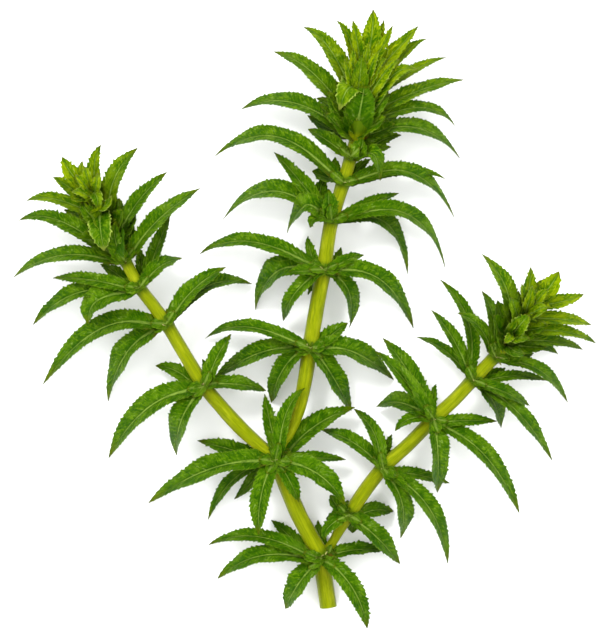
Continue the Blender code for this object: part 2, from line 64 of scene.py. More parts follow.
# %% Nodes and sums
def put(tree, kind, inputs, **settings):
    """Adds a node, sets its options, and sets or links its inputs."""
    made = tree.nodes.new(kind)
    for name, value in settings.items():
        setattr(made, name, value)
    for name, value in inputs.items():
        socket = made.inputs[name]
        if isinstance(value, bpy.types.NodeSocket):
            tree.links.new(value, socket)
        else:
            socket.default_value = value
    return made


def sum_of(tree, operation, first, second=0.0):
    """The result of one sum. The inputs are numbers or other nodes' outputs."""
    return put(tree, "ShaderNodeMath", {0: first, 1: second}, operation=operation).outputs[0]


def product(tree, first, *others):
    """Several values multiplied together, one after the other."""
    for other in others:
        first = sum_of(tree, "MULTIPLY", first, other)
    return first


def total(tree, first, *others):
    """Several values added together, one after the other."""
    for other in others:
        first = sum_of(tree, "ADD", first, other)
    return first


def between(tree, value, low, high, to_low=0.0, to_high=1.0):
    """A value that goes smoothly from one number to another as a measure crosses a range."""
    inputs = {"Value": value, "From Min": low, "From Max": high, "To Min": to_low, "To Max": to_high}
    return put(tree, "ShaderNodeMapRange", inputs, interpolation_type="SMOOTHSTEP").outputs[0]


print("helpers for sums:", [helper.__name__ for helper in (sum_of, product, total, between)])

# %% Colours and patterns
def blend_colours(tree, share, first, second):
    """A colour between two others. The second shows where the share is one."""
    mixer = put(tree, "ShaderNodeMix", {0: share}, data_type="RGBA")
    for place, colour in ((6, first), (7, second)):
        if isinstance(colour, bpy.types.NodeSocket):
            tree.links.new(colour, mixer.inputs[place])
        else:
            mixer.inputs[place].default_value = (*colour, 1.0)
    return mixer.outputs[2]


def stored(tree, name):
    """The three numbers, as one vector, that were stored at each point of the mesh."""
    return put(tree, "ShaderNodeAttribute", {}, attribute_name=name).outputs["Vector"]


def parts_of(tree, vector):
    """A vector's three numbers, each on its own."""
    return list(put(tree, "ShaderNodeSeparateXYZ", {0: vector}).outputs)


def joined(tree, x, y, z):
    """Three numbers joined into one vector."""
    return put(tree, "ShaderNodeCombineXYZ", {0: x, 1: y, 2: z}).outputs[0]


def mottle(tree, place, scale, detail=4.0, roughness=0.6):
    """Soft cloudy noise from 0 to 1 at a place."""
    inputs = {"Vector": place, "Scale": scale, "Detail": detail, "Roughness": roughness}
    return put(tree, "ShaderNodeTexNoise", inputs).outputs[0]


def stretched(tree, place, x, y, z):
    """A place with its three numbers multiplied, so that noise runs out along one of them."""
    return put(tree, "ShaderNodeMapping", {0: place, 3: (x, y, z)}).outputs[0]


print("helpers for patterns:", [helper.__name__ for helper in (blend_colours, mottle, stretched)])

# %% New finish
def new_finish(name):
    """A new material with its node tree and its main shader."""
    finish = bpy.data.materials.new(name)
    finish.use_nodes = True
    return finish, finish.node_tree, finish.node_tree.nodes["Principled BSDF"]


def join_shader(tree, shader, colour, roughness, relief, depth, strength):
    """Joins a colour, a roughness and a relief to the shader. The relief's depth is in metres."""
    bump = put(tree, "ShaderNodeBump", {"Height": relief, "Distance": depth, "Strength": strength})
    tree.links.new(colour, shader.inputs["Base Color"])
    tree.links.new(roughness, shader.inputs["Roughness"])
    tree.links.new(bump.outputs[0], shader.inputs["Normal"])


print("finishes so far:", len(bpy.data.materials))

# %% [markdown]
# ## The leaf's finish
#
# A leaf is mid green, with a pale midrib, puckers that slant forward from it, and mottling. Its
# puckers have a painted highlight on their crests and painted shade between them, and painted
# shade darkens it beside the midrib. It is paler along the toothed margin, and its stalk end has a
# pale streak, a touch of red-brown and painted shade. Young leaves are yellow-green. Each leaf
# could be painted by itself, but there are hundreds. Instead the mesh stores where on its leaf each
# point is (across, along, and a number of the leaf's own) and the leaf's age, size and paleness,
# where a negative paleness paints shade over the leaf, so that one tree of nodes
# does for all of them.

# %% Leaf colours
# the green of painted shade: pucker valleys, folds, beside the rib, stalk ends and shaded leaves
DARK_GREEN = (0.0080, 0.0440, 0.0002)
DEEP_GREEN = (0.0160, 0.0670, 0.0002)
MID_GREEN = (0.0440, 0.1180, 0.0003)
# the painted highlight on the crests of the adult puckers
LIGHT_GREEN = (0.1000, 0.1960, 0.0040)
STREAK_GREEN = (0.1150, 0.2050, 0.0085)
# greyish patches of painted sheen
PAINTED_SHEEN_GREEN = (0.0880, 0.1560, 0.0150)
YOUNG_GREEN = (0.1800, 0.2550, 0.0003)
YOUNG_DEEP_GREEN = (0.0270, 0.0960, 0.0002)
# pale streaks of young leaves, and the painted highlight on their pucker crests
YOUNG_LIGHT_GREEN = (0.3150, 0.3950, 0.0050)
RIB_GREEN = (0.1900, 0.2850, 0.0420)
MARGIN_GREEN = (0.1120, 0.1800, 0.0110)
BASE_BROWN = (0.0700, 0.0380, 0.0050)
# small pale flecks of painted glint
GLINT_FLECK_GREEN = (0.2300, 0.3300, 0.0700)
CLASP_OLIVE = (0.0640, 0.0700, 0.0060)
TIP_OLIVE = (0.1000, 0.1150, 0.0020)
PALE_RIM = (0.3200, 0.4000, 0.0700)
SHEEN_TINT = (0.75, 1.0, 0.08, 1.0)  # the green of the gloss
print("leaf greens, from the darkest to the lightest:", DARK_GREEN, YOUNG_LIGHT_GREEN)

# %% Leaf measures
SIZE_LENGTH = 20.0  # a leaf's stored size is its length in millimetres over this


def leaf_measures(tree):
    """The measures stored on a leaf and the noises that follow them, by name."""
    across, along, own = parts_of(tree, stored(tree, "leaf_place"))
    # a negative paleness paints shade over the whole leaf
    age, size, pale = parts_of(tree, stored(tree, "leaf_life"))
    off_rib = sum_of(tree, "ABSOLUTE", across)
    side_way = product(tree, across, 1.7)
    long_way = product(tree, along, size, SIZE_LENGTH)
    own_way = product(tree, own, 40.0)
    spot = joined(tree, side_way, long_way, own_way)
    clouds = mottle(tree, stretched(tree, spot, 1.0, 0.5, 1.0), 0.55, 4.0, 0.62)
    wander = product(tree, sum_of(tree, "SUBTRACT", clouds, 0.5), 3.0)
    slant = sum_of(tree, "SUBTRACT", long_way, product(tree, off_rib, 2.0))
    slant = total(tree, slant, wander)
    vein_spot = joined(tree, side_way, slant, own_way)
    dashes = mottle(tree, stretched(tree, vein_spot, 0.8, 1.3, 1.0), 1.7, 4.0, 0.65)
    ripple = sum_of(tree, "SINE", product(tree, slant, 6.4))
    return {
        "along": along,
        "off_rib": off_rib,
        "age": age,
        "size": size,
        "pale": pale,
        "clouds": clouds,
        "streaks": mottle(tree, stretched(tree, spot, 2.6, 0.30, 1.0), 1.1, 4.0, 0.65),
        "grains": mottle(tree, spot, 4.5, 3.0, 0.65),
        "dashes": dashes,
        "pucker": total(tree, product(tree, ripple, 0.03), dashes),
        "flecks": mottle(tree, stretched(tree, vein_spot, 1.4, 1.0, 1.0), 1.5, 2.0, 0.5),
    }


print("a leaf of", SIZE_LENGTH, "mm has the size", 1.0)

# %% [markdown]
# ### The greens of the blade
#
# Seen close, a leaf isn't one green. It has soft clouds with patches of painted sheen, puckers
# with a painted highlight and painted shade in the valleys between them, pale streaks and dark
# folds of painted shade along it, and painted shade in a gutter on each side of the rib. One noise
# with a colour ramp would make them all the same size, so each gets a share of its own, and the
# colours are laid over each other in that order.

# %% Clouds and puckers
def blade_green(tree, leaf, dark):
    """Clouds with painted sheen and puckers with painted highlight and shade, mixed by age from adult
    to young.
    """
    clouds = leaf["clouds"]
    pucker = leaf["pucker"]
    old = blend_colours(tree, between(tree, clouds, 0.36, 0.64), DEEP_GREEN, MID_GREEN)
    # patches of painted sheen over the clouds
    old = blend_colours(tree, between(tree, clouds, 0.52, 0.72, 0.0, 0.45), old, PAINTED_SHEEN_GREEN)
    # painted highlight on the pucker crests
    old = blend_colours(tree, between(tree, pucker, 0.50, 0.66, 0.0, 0.70), old, LIGHT_GREEN)
    young = blend_colours(tree, between(tree, clouds, 0.34, 0.66), YOUNG_DEEP_GREEN, YOUNG_GREEN)
    # painted highlight on the young leaves' pucker crests
    bright = between(tree, pucker, 0.50, 0.70, 0.0, 0.6)
    young = blend_colours(tree, bright, young, YOUNG_LIGHT_GREEN)
    colour = blend_colours(tree, leaf["age"], old, young)
    # painted shade in the valleys between the puckers
    valley_shade = between(tree, pucker, 0.32, 0.48, 0.60, 0.0)
    valley_shade = product(tree, valley_shade, between(tree, leaf["off_rib"], 0.02, 0.45, 0.4, 1.0))
    return blend_colours(tree, valley_shade, colour, dark)


print("adult greens:", DEEP_GREEN, MID_GREEN, LIGHT_GREEN)

# %% Streaks, folds and gutter
def blade_lines(tree, leaf, colour, dark):
    """Pale streaks, dark folds of painted shade, and painted shade in the gutter beside the rib."""
    age = leaf["age"]
    streaks = leaf["streaks"]
    lines = between(tree, streaks, 0.56, 0.70, 0.0, 0.50)
    lines = product(tree, lines, between(tree, age, 0.0, 1.0, 1.0, 1.7))
    pale_green = blend_colours(tree, age, STREAK_GREEN, YOUNG_LIGHT_GREEN)
    colour = blend_colours(tree, lines, colour, pale_green)
    # dark folds of painted shade along the blade
    folds = between(tree, streaks, 0.32, 0.43, 0.55, 0.0)
    folds = product(tree, folds, between(tree, age, 0.0, 0.6, 1.0, 1.5))
    colour = blend_colours(tree, folds, colour, dark)
    # painted shade in the gutter on each side of the rib
    gutter = between(tree, leaf["off_rib"], 0.05, 0.30, 0.8, 0.0)
    gutter = product(tree, gutter, between(tree, leaf["grains"], 0.3, 0.6))
    return blend_colours(tree, gutter, colour, dark)


print("green of the streaks, adult and young:", STREAK_GREEN, YOUNG_LIGHT_GREEN)

# %% [markdown]
# ### Margin, rib and ends
#
# The margin is paler than the blade, and nearly white where a young leaf curls up at the front.
# The rib is a pale line that narrows towards the point. The point is olive, and the stalk end
# darker with painted shade and some brown. These follow the stored measures alone, so they stay in
# their places on every leaf, which a texture laid over the whole plant wouldn't do.

# %% Margin, painted glints and painted shade
MARGIN_FROM = 0.82  # how far out on each half of a blade its margin begins


def blade_edge(tree, leaf, colour):
    """The pale margin, the rim of curled leaves, painted glints, and painted shade on leaves and stalk
    ends.
    """
    along = leaf["along"]
    off_rib = leaf["off_rib"]
    pale = leaf["pale"]
    margin = between(tree, off_rib, MARGIN_FROM, 1.0, 0.0, 0.55)
    margin = product(tree, margin, between(tree, leaf["grains"], 0.3, 0.6))
    colour = blend_colours(tree, margin, colour, MARGIN_GREEN)
    rim = between(tree, off_rib, 0.80, 1.0)
    rim = product(tree, rim, between(tree, leaf["dashes"], 0.35, 0.60))
    rim = sum_of(tree, "MAXIMUM", rim, between(tree, along, 0.86, 1.0))
    rim = product(tree, rim, between(tree, pale, 0.0, 1.0))
    colour = blend_colours(tree, rim, colour, PALE_RIM)
    # pale flecks of painted glint
    flecks = between(tree, leaf["flecks"], 0.60, 0.70, 0.0, 0.45)
    flecks = product(tree, flecks, between(tree, leaf["clouds"], 0.42, 0.60))
    colour = blend_colours(tree, flecks, colour, GLINT_FLECK_GREEN)
    # painted shade over leaves of negative paleness, and towards every stalk end
    shade = between(tree, pale, -1.0, 0.0, 0.8, 0.0)
    shade = sum_of(tree, "MAXIMUM", shade, between(tree, along, 0.0, 0.30, 0.50, 0.0))
    return blend_colours(tree, shade, colour, DARK_GREEN)


print("the margin is the outer", round(1.0 - MARGIN_FROM, 2), "of each half")

# %% Rib
RIB_AT_STALK = 0.26  # half the rib's width, as a share of half the blade's
RIB_AT_POINT = 0.075
BRACT_SIZE = 0.14  # leaves of this stored size and under look like bracts
LEAF_SIZE = 0.24  # and those of this size and over don't


def rib_share(tree, leaf):
    """How much of the rib's colour shows. The small bracts have a rib that is plain and wide."""
    along = leaf["along"]
    off_rib = leaf["off_rib"]
    rib_width = between(tree, along, 0.0, 0.4, RIB_AT_STALK, RIB_AT_POINT)
    rib = product(
        tree,
        between(tree, sum_of(tree, "DIVIDE", off_rib, rib_width), 0.30, 1.0, 0.85, 0.0),
        between(tree, leaf["streaks"], 0.25, 0.60, 0.4, 1.0),
        between(tree, leaf["clouds"], 0.35, 0.60, 0.65, 1.0),
        between(tree, along, 0.65, 1.0, 1.0, 0.35),
    )
    small = between(tree, leaf["size"], BRACT_SIZE, LEAF_SIZE, 0.9, 0.0)
    small = product(tree, small, between(tree, off_rib, 0.10, 0.34, 1.0, 0.0))
    return sum_of(tree, "MAXIMUM", rib, small)


print("the rib narrows from", RIB_AT_STALK, "to", RIB_AT_POINT, "of the blade")

# %% Point and stalk end
def blade_ends(tree, leaf, colour, rib):
    """The olive point, the brown stalk end, and the olive of small bracts."""
    along = leaf["along"]
    grains = leaf["grains"]
    tip = between(tree, along, 0.84, 1.0, 0.0, 0.75)
    tip = product(tree, tip, between(tree, grains, 0.25, 0.55))
    colour = blend_colours(tree, tip, colour, TIP_OLIVE)
    root = product(
        tree,
        between(tree, along, 0.02, 0.16, 1.0, 0.0),
        between(tree, leaf["off_rib"], 0.2, 0.9),
        between(tree, leaf["clouds"], 0.45, 0.65),
    )
    colour = blend_colours(tree, root, colour, BASE_BROWN)
    clasp = product(
        tree,
        between(tree, leaf["size"], BRACT_SIZE, LEAF_SIZE, 0.75, 0.0),
        between(tree, along, 0.1, 0.75, 1.0, 0.0),
        between(tree, grains, 0.35, 0.60),
        between(tree, leaf["age"], 0.20, 0.60, 1.0, 0.0),
        between(tree, rib, 0.0, 0.8, 1.0, 0.2),
    )
    return blend_colours(tree, clasp, colour, CLASP_OLIVE)


print("bracts are leaves under about", round(BRACT_SIZE * SIZE_LENGTH, 1), "mm long")

# %% Leaf finish
def leaf_finish():
    """Green leaf with a thin pale rib, slanting puckers and mottling."""
    finish, tree, shader = new_finish("leaf_green")
    leaf = leaf_measures(tree)
    # the green of the painted shade in the pucker valleys, the folds and beside the rib
    dark = blend_colours(tree, leaf["age"], DARK_GREEN, YOUNG_DEEP_GREEN)
    rib = rib_share(tree, leaf)
    colour = blade_green(tree, leaf, dark)
    colour = blade_lines(tree, leaf, colour, dark)
    colour = blade_edge(tree, leaf, colour)
    colour = blend_colours(tree, rib, colour, RIB_GREEN)
    colour = blade_ends(tree, leaf, colour, rib)
    roughness = between(tree, leaf["grains"], 0.35, 0.70, 0.26, 0.48)
    relief = total(
        tree,
        product(tree, leaf["pucker"], 2.2),
        product(tree, leaf["streaks"], 1.2),
        product(tree, leaf["grains"], 0.4),
        product(tree, rib, 0.8),
    )
    join_shader(tree, shader, colour, roughness, relief, 0.00017, 0.9)
    shader.inputs["Specular IOR Level"].default_value = 0.09
    shader.inputs["Specular Tint"].default_value = SHEEN_TINT
    return finish


leaf_green = leaf_finish()
print("leaf finish nodes:", len(leaf_green.node_tree.nodes))

# %% [markdown]
# ## The stem's finish
#
# The stem is a smooth yellow-green tube, greener towards a joint, with fine streaks along it and
# a few brown flecks. Streaks could be wrapped round it with an unwrapped picture, but that leaves
# a seam. The mesh stores the way round the stem as a cosine and a sine, so the streaks have no
# seam, and the distance along it. A second store says how close the next joint is.

# %% Stem colours
STEM_YELLOW = (0.182, 0.214, 0.0008)
STEM_LIGHT = (0.310, 0.330, 0.010)
STEM_GREEN = (0.098, 0.135, 0.0006)
JOINT_GREEN = (0.034, 0.078, 0.001)
FLECK_BROWN = (0.075, 0.045, 0.003)
print("stem colours, from a joint to its lightest streaks:", JOINT_GREEN, STEM_LIGHT)

# %% Stem finish
def stem_finish():
    """Yellow-green stem with streaks along it."""
    finish, tree, shader = new_finish("stem_green")
    place = stored(tree, "stem_place")
    joint = parts_of(tree, stored(tree, "stem_life"))[0]
    streaks = mottle(tree, stretched(tree, place, 4.0, 4.0, 0.25), 2.4, 4.0, 0.6)
    threads = mottle(tree, stretched(tree, place, 12.0, 12.0, 0.5), 2.4, 3.0, 0.6)
    clouds = mottle(tree, stretched(tree, place, 1.0, 1.0, 0.5), 1.1, 4.0, 0.6)
    flecks = mottle(tree, stretched(tree, place, 5.0, 5.0, 2.0), 2.0, 2.0, 0.5)
    colour = blend_colours(tree, between(tree, streaks, 0.34, 0.68), STEM_GREEN, STEM_YELLOW)
    colour = blend_colours(tree, between(tree, clouds, 0.45, 0.75, 0.0, 0.55), colour, STEM_LIGHT)
    colour = blend_colours(tree, between(tree, threads, 0.52, 0.75, 0.0, 0.45), colour, STEM_LIGHT)
    colour = blend_colours(tree, between(tree, joint, 0.35, 0.85, 0.0, 0.9), colour, JOINT_GREEN)
    colour = blend_colours(tree, between(tree, flecks, 0.70, 0.78, 0.0, 0.7), colour, FLECK_BROWN)
    roughness = between(tree, streaks, 0.3, 0.7, 0.26, 0.42)
    relief = total(tree, streaks, product(tree, threads, 0.5))
    join_shader(tree, shader, colour, roughness, relief, 0.00012, 0.6)
    shader.inputs["Specular IOR Level"].default_value = 0.22
    shader.inputs["Specular Tint"].default_value = SHEEN_TINT
    return finish


stem_green = stem_finish()
print("stem finish nodes:", len(stem_green.node_tree.nodes))

# %% [markdown]
# ## The finish of the scales at a joint
#
# Small dry scales sit where the leaves meet the stem. They are straw-coloured to brown, and
# darker towards their points. They are tiny, so one cloudy noise is enough, but each scale reads
# its own part of it, or all of them would look alike.

# %% Scale finish
STRAW = (0.420, 0.430, 0.130)
DRY_BROWN = (0.140, 0.085, 0.015)


def scale_finish():
    """Dry straw-coloured scale."""
    finish, tree, shader = new_finish("joint_scale")
    across, along, own = parts_of(tree, stored(tree, "leaf_place"))
    spot = joined(tree, across, along, product(tree, own, 60.0))
    clouds = mottle(tree, spot, 2.0, 4.0, 0.6)
    browned = between(tree, clouds, 0.35, 0.65)
    browned = product(tree, browned, between(tree, along, 0.2, 1.0, 0.5, 1.0))
    colour = blend_colours(tree, browned, STRAW, DRY_BROWN)
    roughness = between(tree, clouds, 0.3, 0.7, 0.45, 0.65)
    join_shader(tree, shader, colour, roughness, clouds, 0.0001, 0.6)
    return finish


joint_scale = scale_finish()
print("scale finish nodes:", len(joint_scale.node_tree.nodes))

# %% Finishes of a piece
FINISHES = [leaf_green, stem_green, joint_scale]
ON_LEAF = 0  # a face's place in that list
ON_STEM = 1
ON_SCALE = 2
print("finishes:", [finish.name for finish in FINISHES])

# %% [markdown]
# ## From a modelled shape to a piece
#
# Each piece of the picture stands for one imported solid, so the sprig keeps its weight and its
# collision shape while it gets finer leaves. A solid's own mesh could be made finer instead, but
# its blades have no teeth to start from. The measures for the finishes are stored at the new
# mesh's points before anything is drawn.

# %% New shape
STORES = ("leaf_place", "leaf_life", "stem_place", "stem_life")


def new_shape():
    """An empty shape with room for the measures that the finishes read."""
    bm = bmesh.new()
    for name in STORES:
        bm.verts.layers.float_vector.new(name)
    return bm


print("measures at each point:", STORES)

# %% Finished piece
LEVEL_TOP = 14.3  # above this height the foremost leaves are pressed flatter
PRESSED = 0.7  # the share of what is above it that is taken away
LOWEST = 0.03  # the table is at zero, and nothing is set lower than this
SHARP_ANGLE = 0.9  # where faces meet more sharply, in radians, each shades by itself


def sharpen_rims(bm):
    """Marks the narrow edges of thin blades as sharp, so that their faces shade as faces."""
    for edge in bm.edges:
        if edge.calc_face_angle(0.0) > SHARP_ANGLE:
            edge.smooth = False


def finish_piece(name, bm, node):
    """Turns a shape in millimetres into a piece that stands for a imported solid."""
    bmesh.ops.recalc_face_normals(bm, faces=bm.faces)
    for face in bm.faces:
        face.smooth = True
    sharpen_rims(bm)
    for vert in bm.verts:
        over = max(0.0, vert.co.z - LEVEL_TOP)
        vert.co.z = max(vert.co.z - PRESSED * over, LOWEST)
    bmesh.ops.scale(bm, vec=(MM, MM, MM), verts=bm.verts)
    mesh = bpy.data.meshes.new(name)
    bm.to_mesh(mesh)
    bm.free()
    for finish in FINISHES:
        mesh.materials.append(finish)
    piece = bpy.data.objects.new(name, mesh)
    bpy.context.scene.collection.objects.link(piece)
    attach(piece, "root")
    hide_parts(node)
    print(name, "faces:", len(mesh.polygons))


print("leaves are pressed flatter above", LEVEL_TOP, "mm")

# %% [markdown]
# ## The course of each stem
#
# A stem is a smooth curve through a few places, with its radius at each. The solids were drawn
# through the same places, in straight runs, so both are laid out by one list of numbers: x, y,
# height and radius.

# %% Stem places
MAIN_STEM = [
    (4.8, -57.6, 1.74, 1.70),
    (4.0, -52.0, 2.5, 1.70),
    (3.2, -47.4, 3.4, 1.70),
    (1.1, -43.2, 4.0, 1.68),
    (-1.1, -39.1, 4.6, 1.66),
    (-3.4, -33.8, 5.3, 1.62),
    (-4.8, -30.3, 5.8, 1.55),
]
LEFT_STEM = [
    (-10.0, -24.2, 6.3, 1.36),
    (-13.2, -21.2, 6.5, 1.46),
    (-17.0, -17.0, 6.8, 1.42),
    (-20.2, -13.0, 7.0, 1.40),
    (-24.2, -6.5, 7.3, 1.34),
    (-27.7, -0.6, 7.6, 1.32),
    (-30.3, 3.0, 7.8, 1.28),
    (-33.0, 6.6, 8.0, 1.20),
    (-35.9, 12.0, 8.2, 1.14),
    (-37.4, 15.0, 8.3, 1.00),
]
CENTRE_STEM = [
    (-4.2, -24.6, 6.3, 0.80),
    (-3.0, -22.6, 6.3, 1.02),
    (-1.2, -18.0, 6.5, 1.30),
    (0.2, -11.4, 6.8, 1.48),
    (1.1, -5.4, 7.0, 1.55),
    (2.7, 4.0, 7.5, 1.52),
    (3.9, 10.2, 7.8, 1.50),
    (4.7, 16.0, 8.0, 1.44),
    (5.5, 20.2, 8.2, 1.40),
    (7.8, 27.6, 8.4, 1.34),
    (9.3, 32.8, 8.5, 1.24),
    (9.8, 35.2, 8.5, 1.10),
]
RIGHT_STEM = [
    (6.1, -43.8, 3.8, 0.95),
    (7.1, -41.8, 4.0, 1.15),
    (9.0, -38.8, 4.4, 1.34),
    (12.4, -33.8, 5.2, 1.44),
    (15.9, -29.4, 6.0, 1.42),
    (20.9, -24.8, 6.5, 1.38),
    (25.9, -19.7, 7.0, 1.38),
    (30.0, -15.9, 7.3, 1.36),
    (33.8, -11.8, 7.6, 1.34),
    (38.2, -7.2, 7.9, 1.24),
    (39.9, -5.2, 8.0, 1.10),
]
BASE_JOINT = 2
KNOT_PLACE = (-5.9, -27.8, 6.0)
KNOT_GROWTH = (-0.15, 0.98, 0.1)
print("stem places:", len(MAIN_STEM) + len(LEFT_STEM) + len(CENTRE_STEM) + len(RIGHT_STEM))

# %% [markdown]
# ## Stems
#
# A stem is a ring drawn along its course, like pulling a tube out of a circle. The course is
# made smooth first, so that it has no corners. Low ridges run along a real stem and it swells a
# little at each joint, so each ring's points are then moved in or out. A curve with a bevel would
# give the tube too, but not the ridges.

# %% Smooth course
STEM_STEP = 0.6  # millimetres between a stem's rings


def smooth_course(route, step):
    """Places and radii every few tenths of a millimetre on a curve through a route."""
    points = [Vector(point) for point in route]
    points = [points[0] * 2.0 - points[1], *points, points[-1] * 2.0 - points[-2]]
    course = []
    for before, start, end, after in zip(points, points[1:], points[2:], points[3:]):
        pieces = max(1, round((end - start).to_3d().length / step))
        for piece in range(pieces):
            t = piece / pieces
            sway = (before * -1.0 + start * 3.0 - end * 3.0 + after) * t * t * t
            bow = (before * 2.0 - start * 5.0 + end * 4.0 - after) * t * t
            course.append(start + (sway + bow + (end - before) * t) * 0.5)
    course.append(points[-2])
    return course


main_course = smooth_course(MAIN_STEM, STEM_STEP)
print("places on the main stem's smooth course:", len(main_course))

# %% Rings along a course
def frame_at(place, along, half_width):
    """The matrix that sets a flat round section at a place, square to a direction."""
    across = UP.cross(along).normalized()
    upright = along.cross(across).normalized()
    turned = Matrix((across * half_width, upright * half_width, along)).transposed()
    return Matrix.Translation(place) @ turned.to_4x4()


def frames_along(course):
    """The frame of each section of a tube along a course of places and radii."""
    places = [point.to_3d() for point in course]
    frames = []
    for index, point in enumerate(course):
        along = (places[min(index + 1, len(places) - 1)] - places[max(index - 1, 0)]).normalized()
        frames.append(frame_at(places[index], along, point.w))
    return frames


def extrude_rim(bm, rim):
    """Extrudes an open rim, and gives the new rim's points and edges."""
    grown = bmesh.ops.extrude_edge_only(bm, edges=rim)["geom"]
    ring = [part for part in grown if isinstance(part, bmesh.types.BMVert)]
    edges = [part for part in grown if isinstance(part, bmesh.types.BMEdge)]
    return ring, [edge for edge in edges if set(edge.verts) <= set(ring)]


def draw_rings(bm, frames, sides):
    """Makes a circle at the first frame and extrudes it to each of the others in turn."""
    ring = bmesh.ops.create_circle(bm, cap_ends=False, radius=1.0, segments=sides)["verts"]
    bmesh.ops.transform(bm, matrix=frames[0], verts=ring)
    rim = list(dict.fromkeys(edge for vert in ring for edge in vert.link_edges))
    rings = [ring]
    for before, after in zip(frames, frames[1:]):
        ring, rim = extrude_rim(bm, rim)
        bmesh.ops.transform(bm, matrix=after @ before.inverted(), verts=ring)
        rings.append(ring)
    return rings


print("frames along the main stem:", len(frames_along(main_course)))

# %% Ridges and stored measures
RIDGE_COUNT = 7.0
JOINT_REACH = 3.2  # how near a joint, in millimetres, a stem begins to turn green


def raise_ridges(bm, rings, frames, joints, own, ridge):
    """Moves a tube's points in or out for its ridges, and stores where on the tube they are."""
    place_store = bm.verts.layers.float_vector["stem_place"]
    life_store = bm.verts.layers.float_vector["stem_life"]
    gone = 0.0
    last = frames[0].translation
    for ring, matrix in zip(rings, frames):
        place = matrix.translation
        gone += (place - last).length
        last = place
        nearest = min((place - joint).length for joint in joints)
        close = max(0.0, 1.0 - nearest / JOINT_REACH)
        back = matrix.inverted()
        for vert in ring:
            spot = back @ vert.co
            angle = math.atan2(spot.y, spot.x)
            lump = Vector((math.cos(angle), math.sin(angle), gone * 0.35 + own * 50.0))
            vert[place_store] = (math.cos(angle) + own * 7.0, math.sin(angle), gone / 3.0)
            vert[life_store] = (close, 0.0, 0.0)
            lift = ridge * math.cos(RIDGE_COUNT * angle + own * 9.0)
            lift += 2.0 * ridge * noise.noise(lump)
            vert.co = place + (vert.co - place) * (1.0 + lift)


def draw_tube(bm, course, sides, joints, own, ridge):
    """A closed tube along a course of places and radii, with ridges and stored measures."""
    frames = frames_along(course)
    rings = draw_rings(bm, frames, sides)
    raise_ridges(bm, rings, frames, joints, own, ridge)
    bmesh.ops.contextual_create(bm, geom=rings[0])
    bmesh.ops.contextual_create(bm, geom=rings[-1])
    for ring in rings:
        for vert in ring:
            for face in vert.link_faces:
                face.material_index = ON_STEM


print("ridges round a stem:", RIDGE_COUNT)

# %% Joints of the stems
JOINTS = {
    "main": [MAIN_STEM[BASE_JOINT][:3], KNOT_PLACE],
    "left": [KNOT_PLACE, *(LEFT_STEM[index][:3] for index in (3, 5, 7, 8))],
    "centre": [KNOT_PLACE, *(CENTRE_STEM[index][:3] for index in (4, 6, 8, 9, 10))],
    "right": [MAIN_STEM[BASE_JOINT][:3], *(RIGHT_STEM[index][:3] for index in (2, 4, 6, 8, 9))],
}
STEM_ROUTES = {
    "main": [*MAIN_STEM, (*KNOT_PLACE, 1.5)],
    "left": [(*KNOT_PLACE, 1.3), *LEFT_STEM],
    "centre": [(*KNOT_PLACE, 0.9), *CENTRE_STEM],
    "right": [(4.4, -46.4, 3.4, 0.9), *RIGHT_STEM],
}
SWELLING = 0.10  # how much thicker a stem is at a joint


def swollen(course, joints):
    """A course whose radius grows a little at each joint."""
    for point in course:
        nearest = min((point.to_3d() - joint).length for joint in joints)
        point.w *= 1.0 + SWELLING * math.exp(-nearest * nearest / 1.6)
    return course


print("joints on each stem:", {side: len(places) for side, places in JOINTS.items()})

# %% Four stems
STEM_SIDES = 40
STEM_RIDGE = 0.010  # the height of a ridge as a share of the stem's radius

for number, (side, route) in enumerate(STEM_ROUTES.items()):
    joints = [Vector(place) for place in JOINTS[side]]
    shape = new_shape()
    course = swollen(smooth_course(route, STEM_STEP), joints)
    draw_tube(shape, course, STEM_SIDES, joints, 0.1 + 0.2 * number, STEM_RIDGE)
    finish_piece(side + "_stem_grown", shape, side + "_stem")

# %% [markdown]
# ## One leaf
#
# A leaf starts as a flat grid, eight faces across. Its rows are laid along the arched midrib, and
# its columns make a shallow V that rolls back at the margins. Four rows make one forward-pointing
# tooth. The grid is then given its thickness with solidify, which keeps it a closed blade. Each
# leaf gets small differences of its own from its seed: twist, waves and uneven teeth. One leaf
# could be made by hand and copied, but then all the leaves would be alike.

# %% Midrib
FACE_UP = 1.15  # how much more a leaf faces up than along its stem


def midrib(base, arch, tip, growth):
    """The course of a leaf: gives the place, the way across and the way along at a share of it."""
    bend = arch * 2.0 - (base + tip) * 0.5
    middle = (tip - base).normalized()
    facing = growth + UP * FACE_UP
    facing = (facing - middle * facing.dot(middle)).normalized()

    def at(share):
        rest = 1.0 - share
        place = base * rest * rest + bend * 2.0 * rest * share + tip * share * share
        along = ((bend - base) * rest + (tip - bend) * share).normalized()
        turned = middle.rotation_difference(along) @ facing
        across = turned.cross(along).normalized()
        return place, across, along

    return at


level_leaf = midrib(Vector((0.0, 0.0, 0.0)), Vector((5.0, 0.0, 2.0)), Vector((10.0, 0.0, 0.0)), UP)
print("height of an arch half way along:", round(level_leaf(0.5)[0].z, 2), "mm")

# %% Length of a leaf
RUNS = 12  # how many straight runs a midrib is measured by


def lengths_of(course):
    """A leaf's length, and how much of it is seen from above up to the end of each run."""
    stops = [course(step / RUNS)[0] for step in range(RUNS + 1)]
    steps = [after - before for before, after in zip(stops, stops[1:])]
    length = sum(step.length for step in steps)
    seen = [sum(step.to_2d().length for step in steps[:count]) for count in range(RUNS + 1)]
    return length, seen


def seen_share(share, seen):
    """How far along the blade, as seen from above, a share of its midrib is."""
    whole = min(RUNS - 1, int(share * RUNS))
    reached = seen[whole] + (seen[whole + 1] - seen[whole]) * (share * RUNS - whole)
    return reached / seen[RUNS]


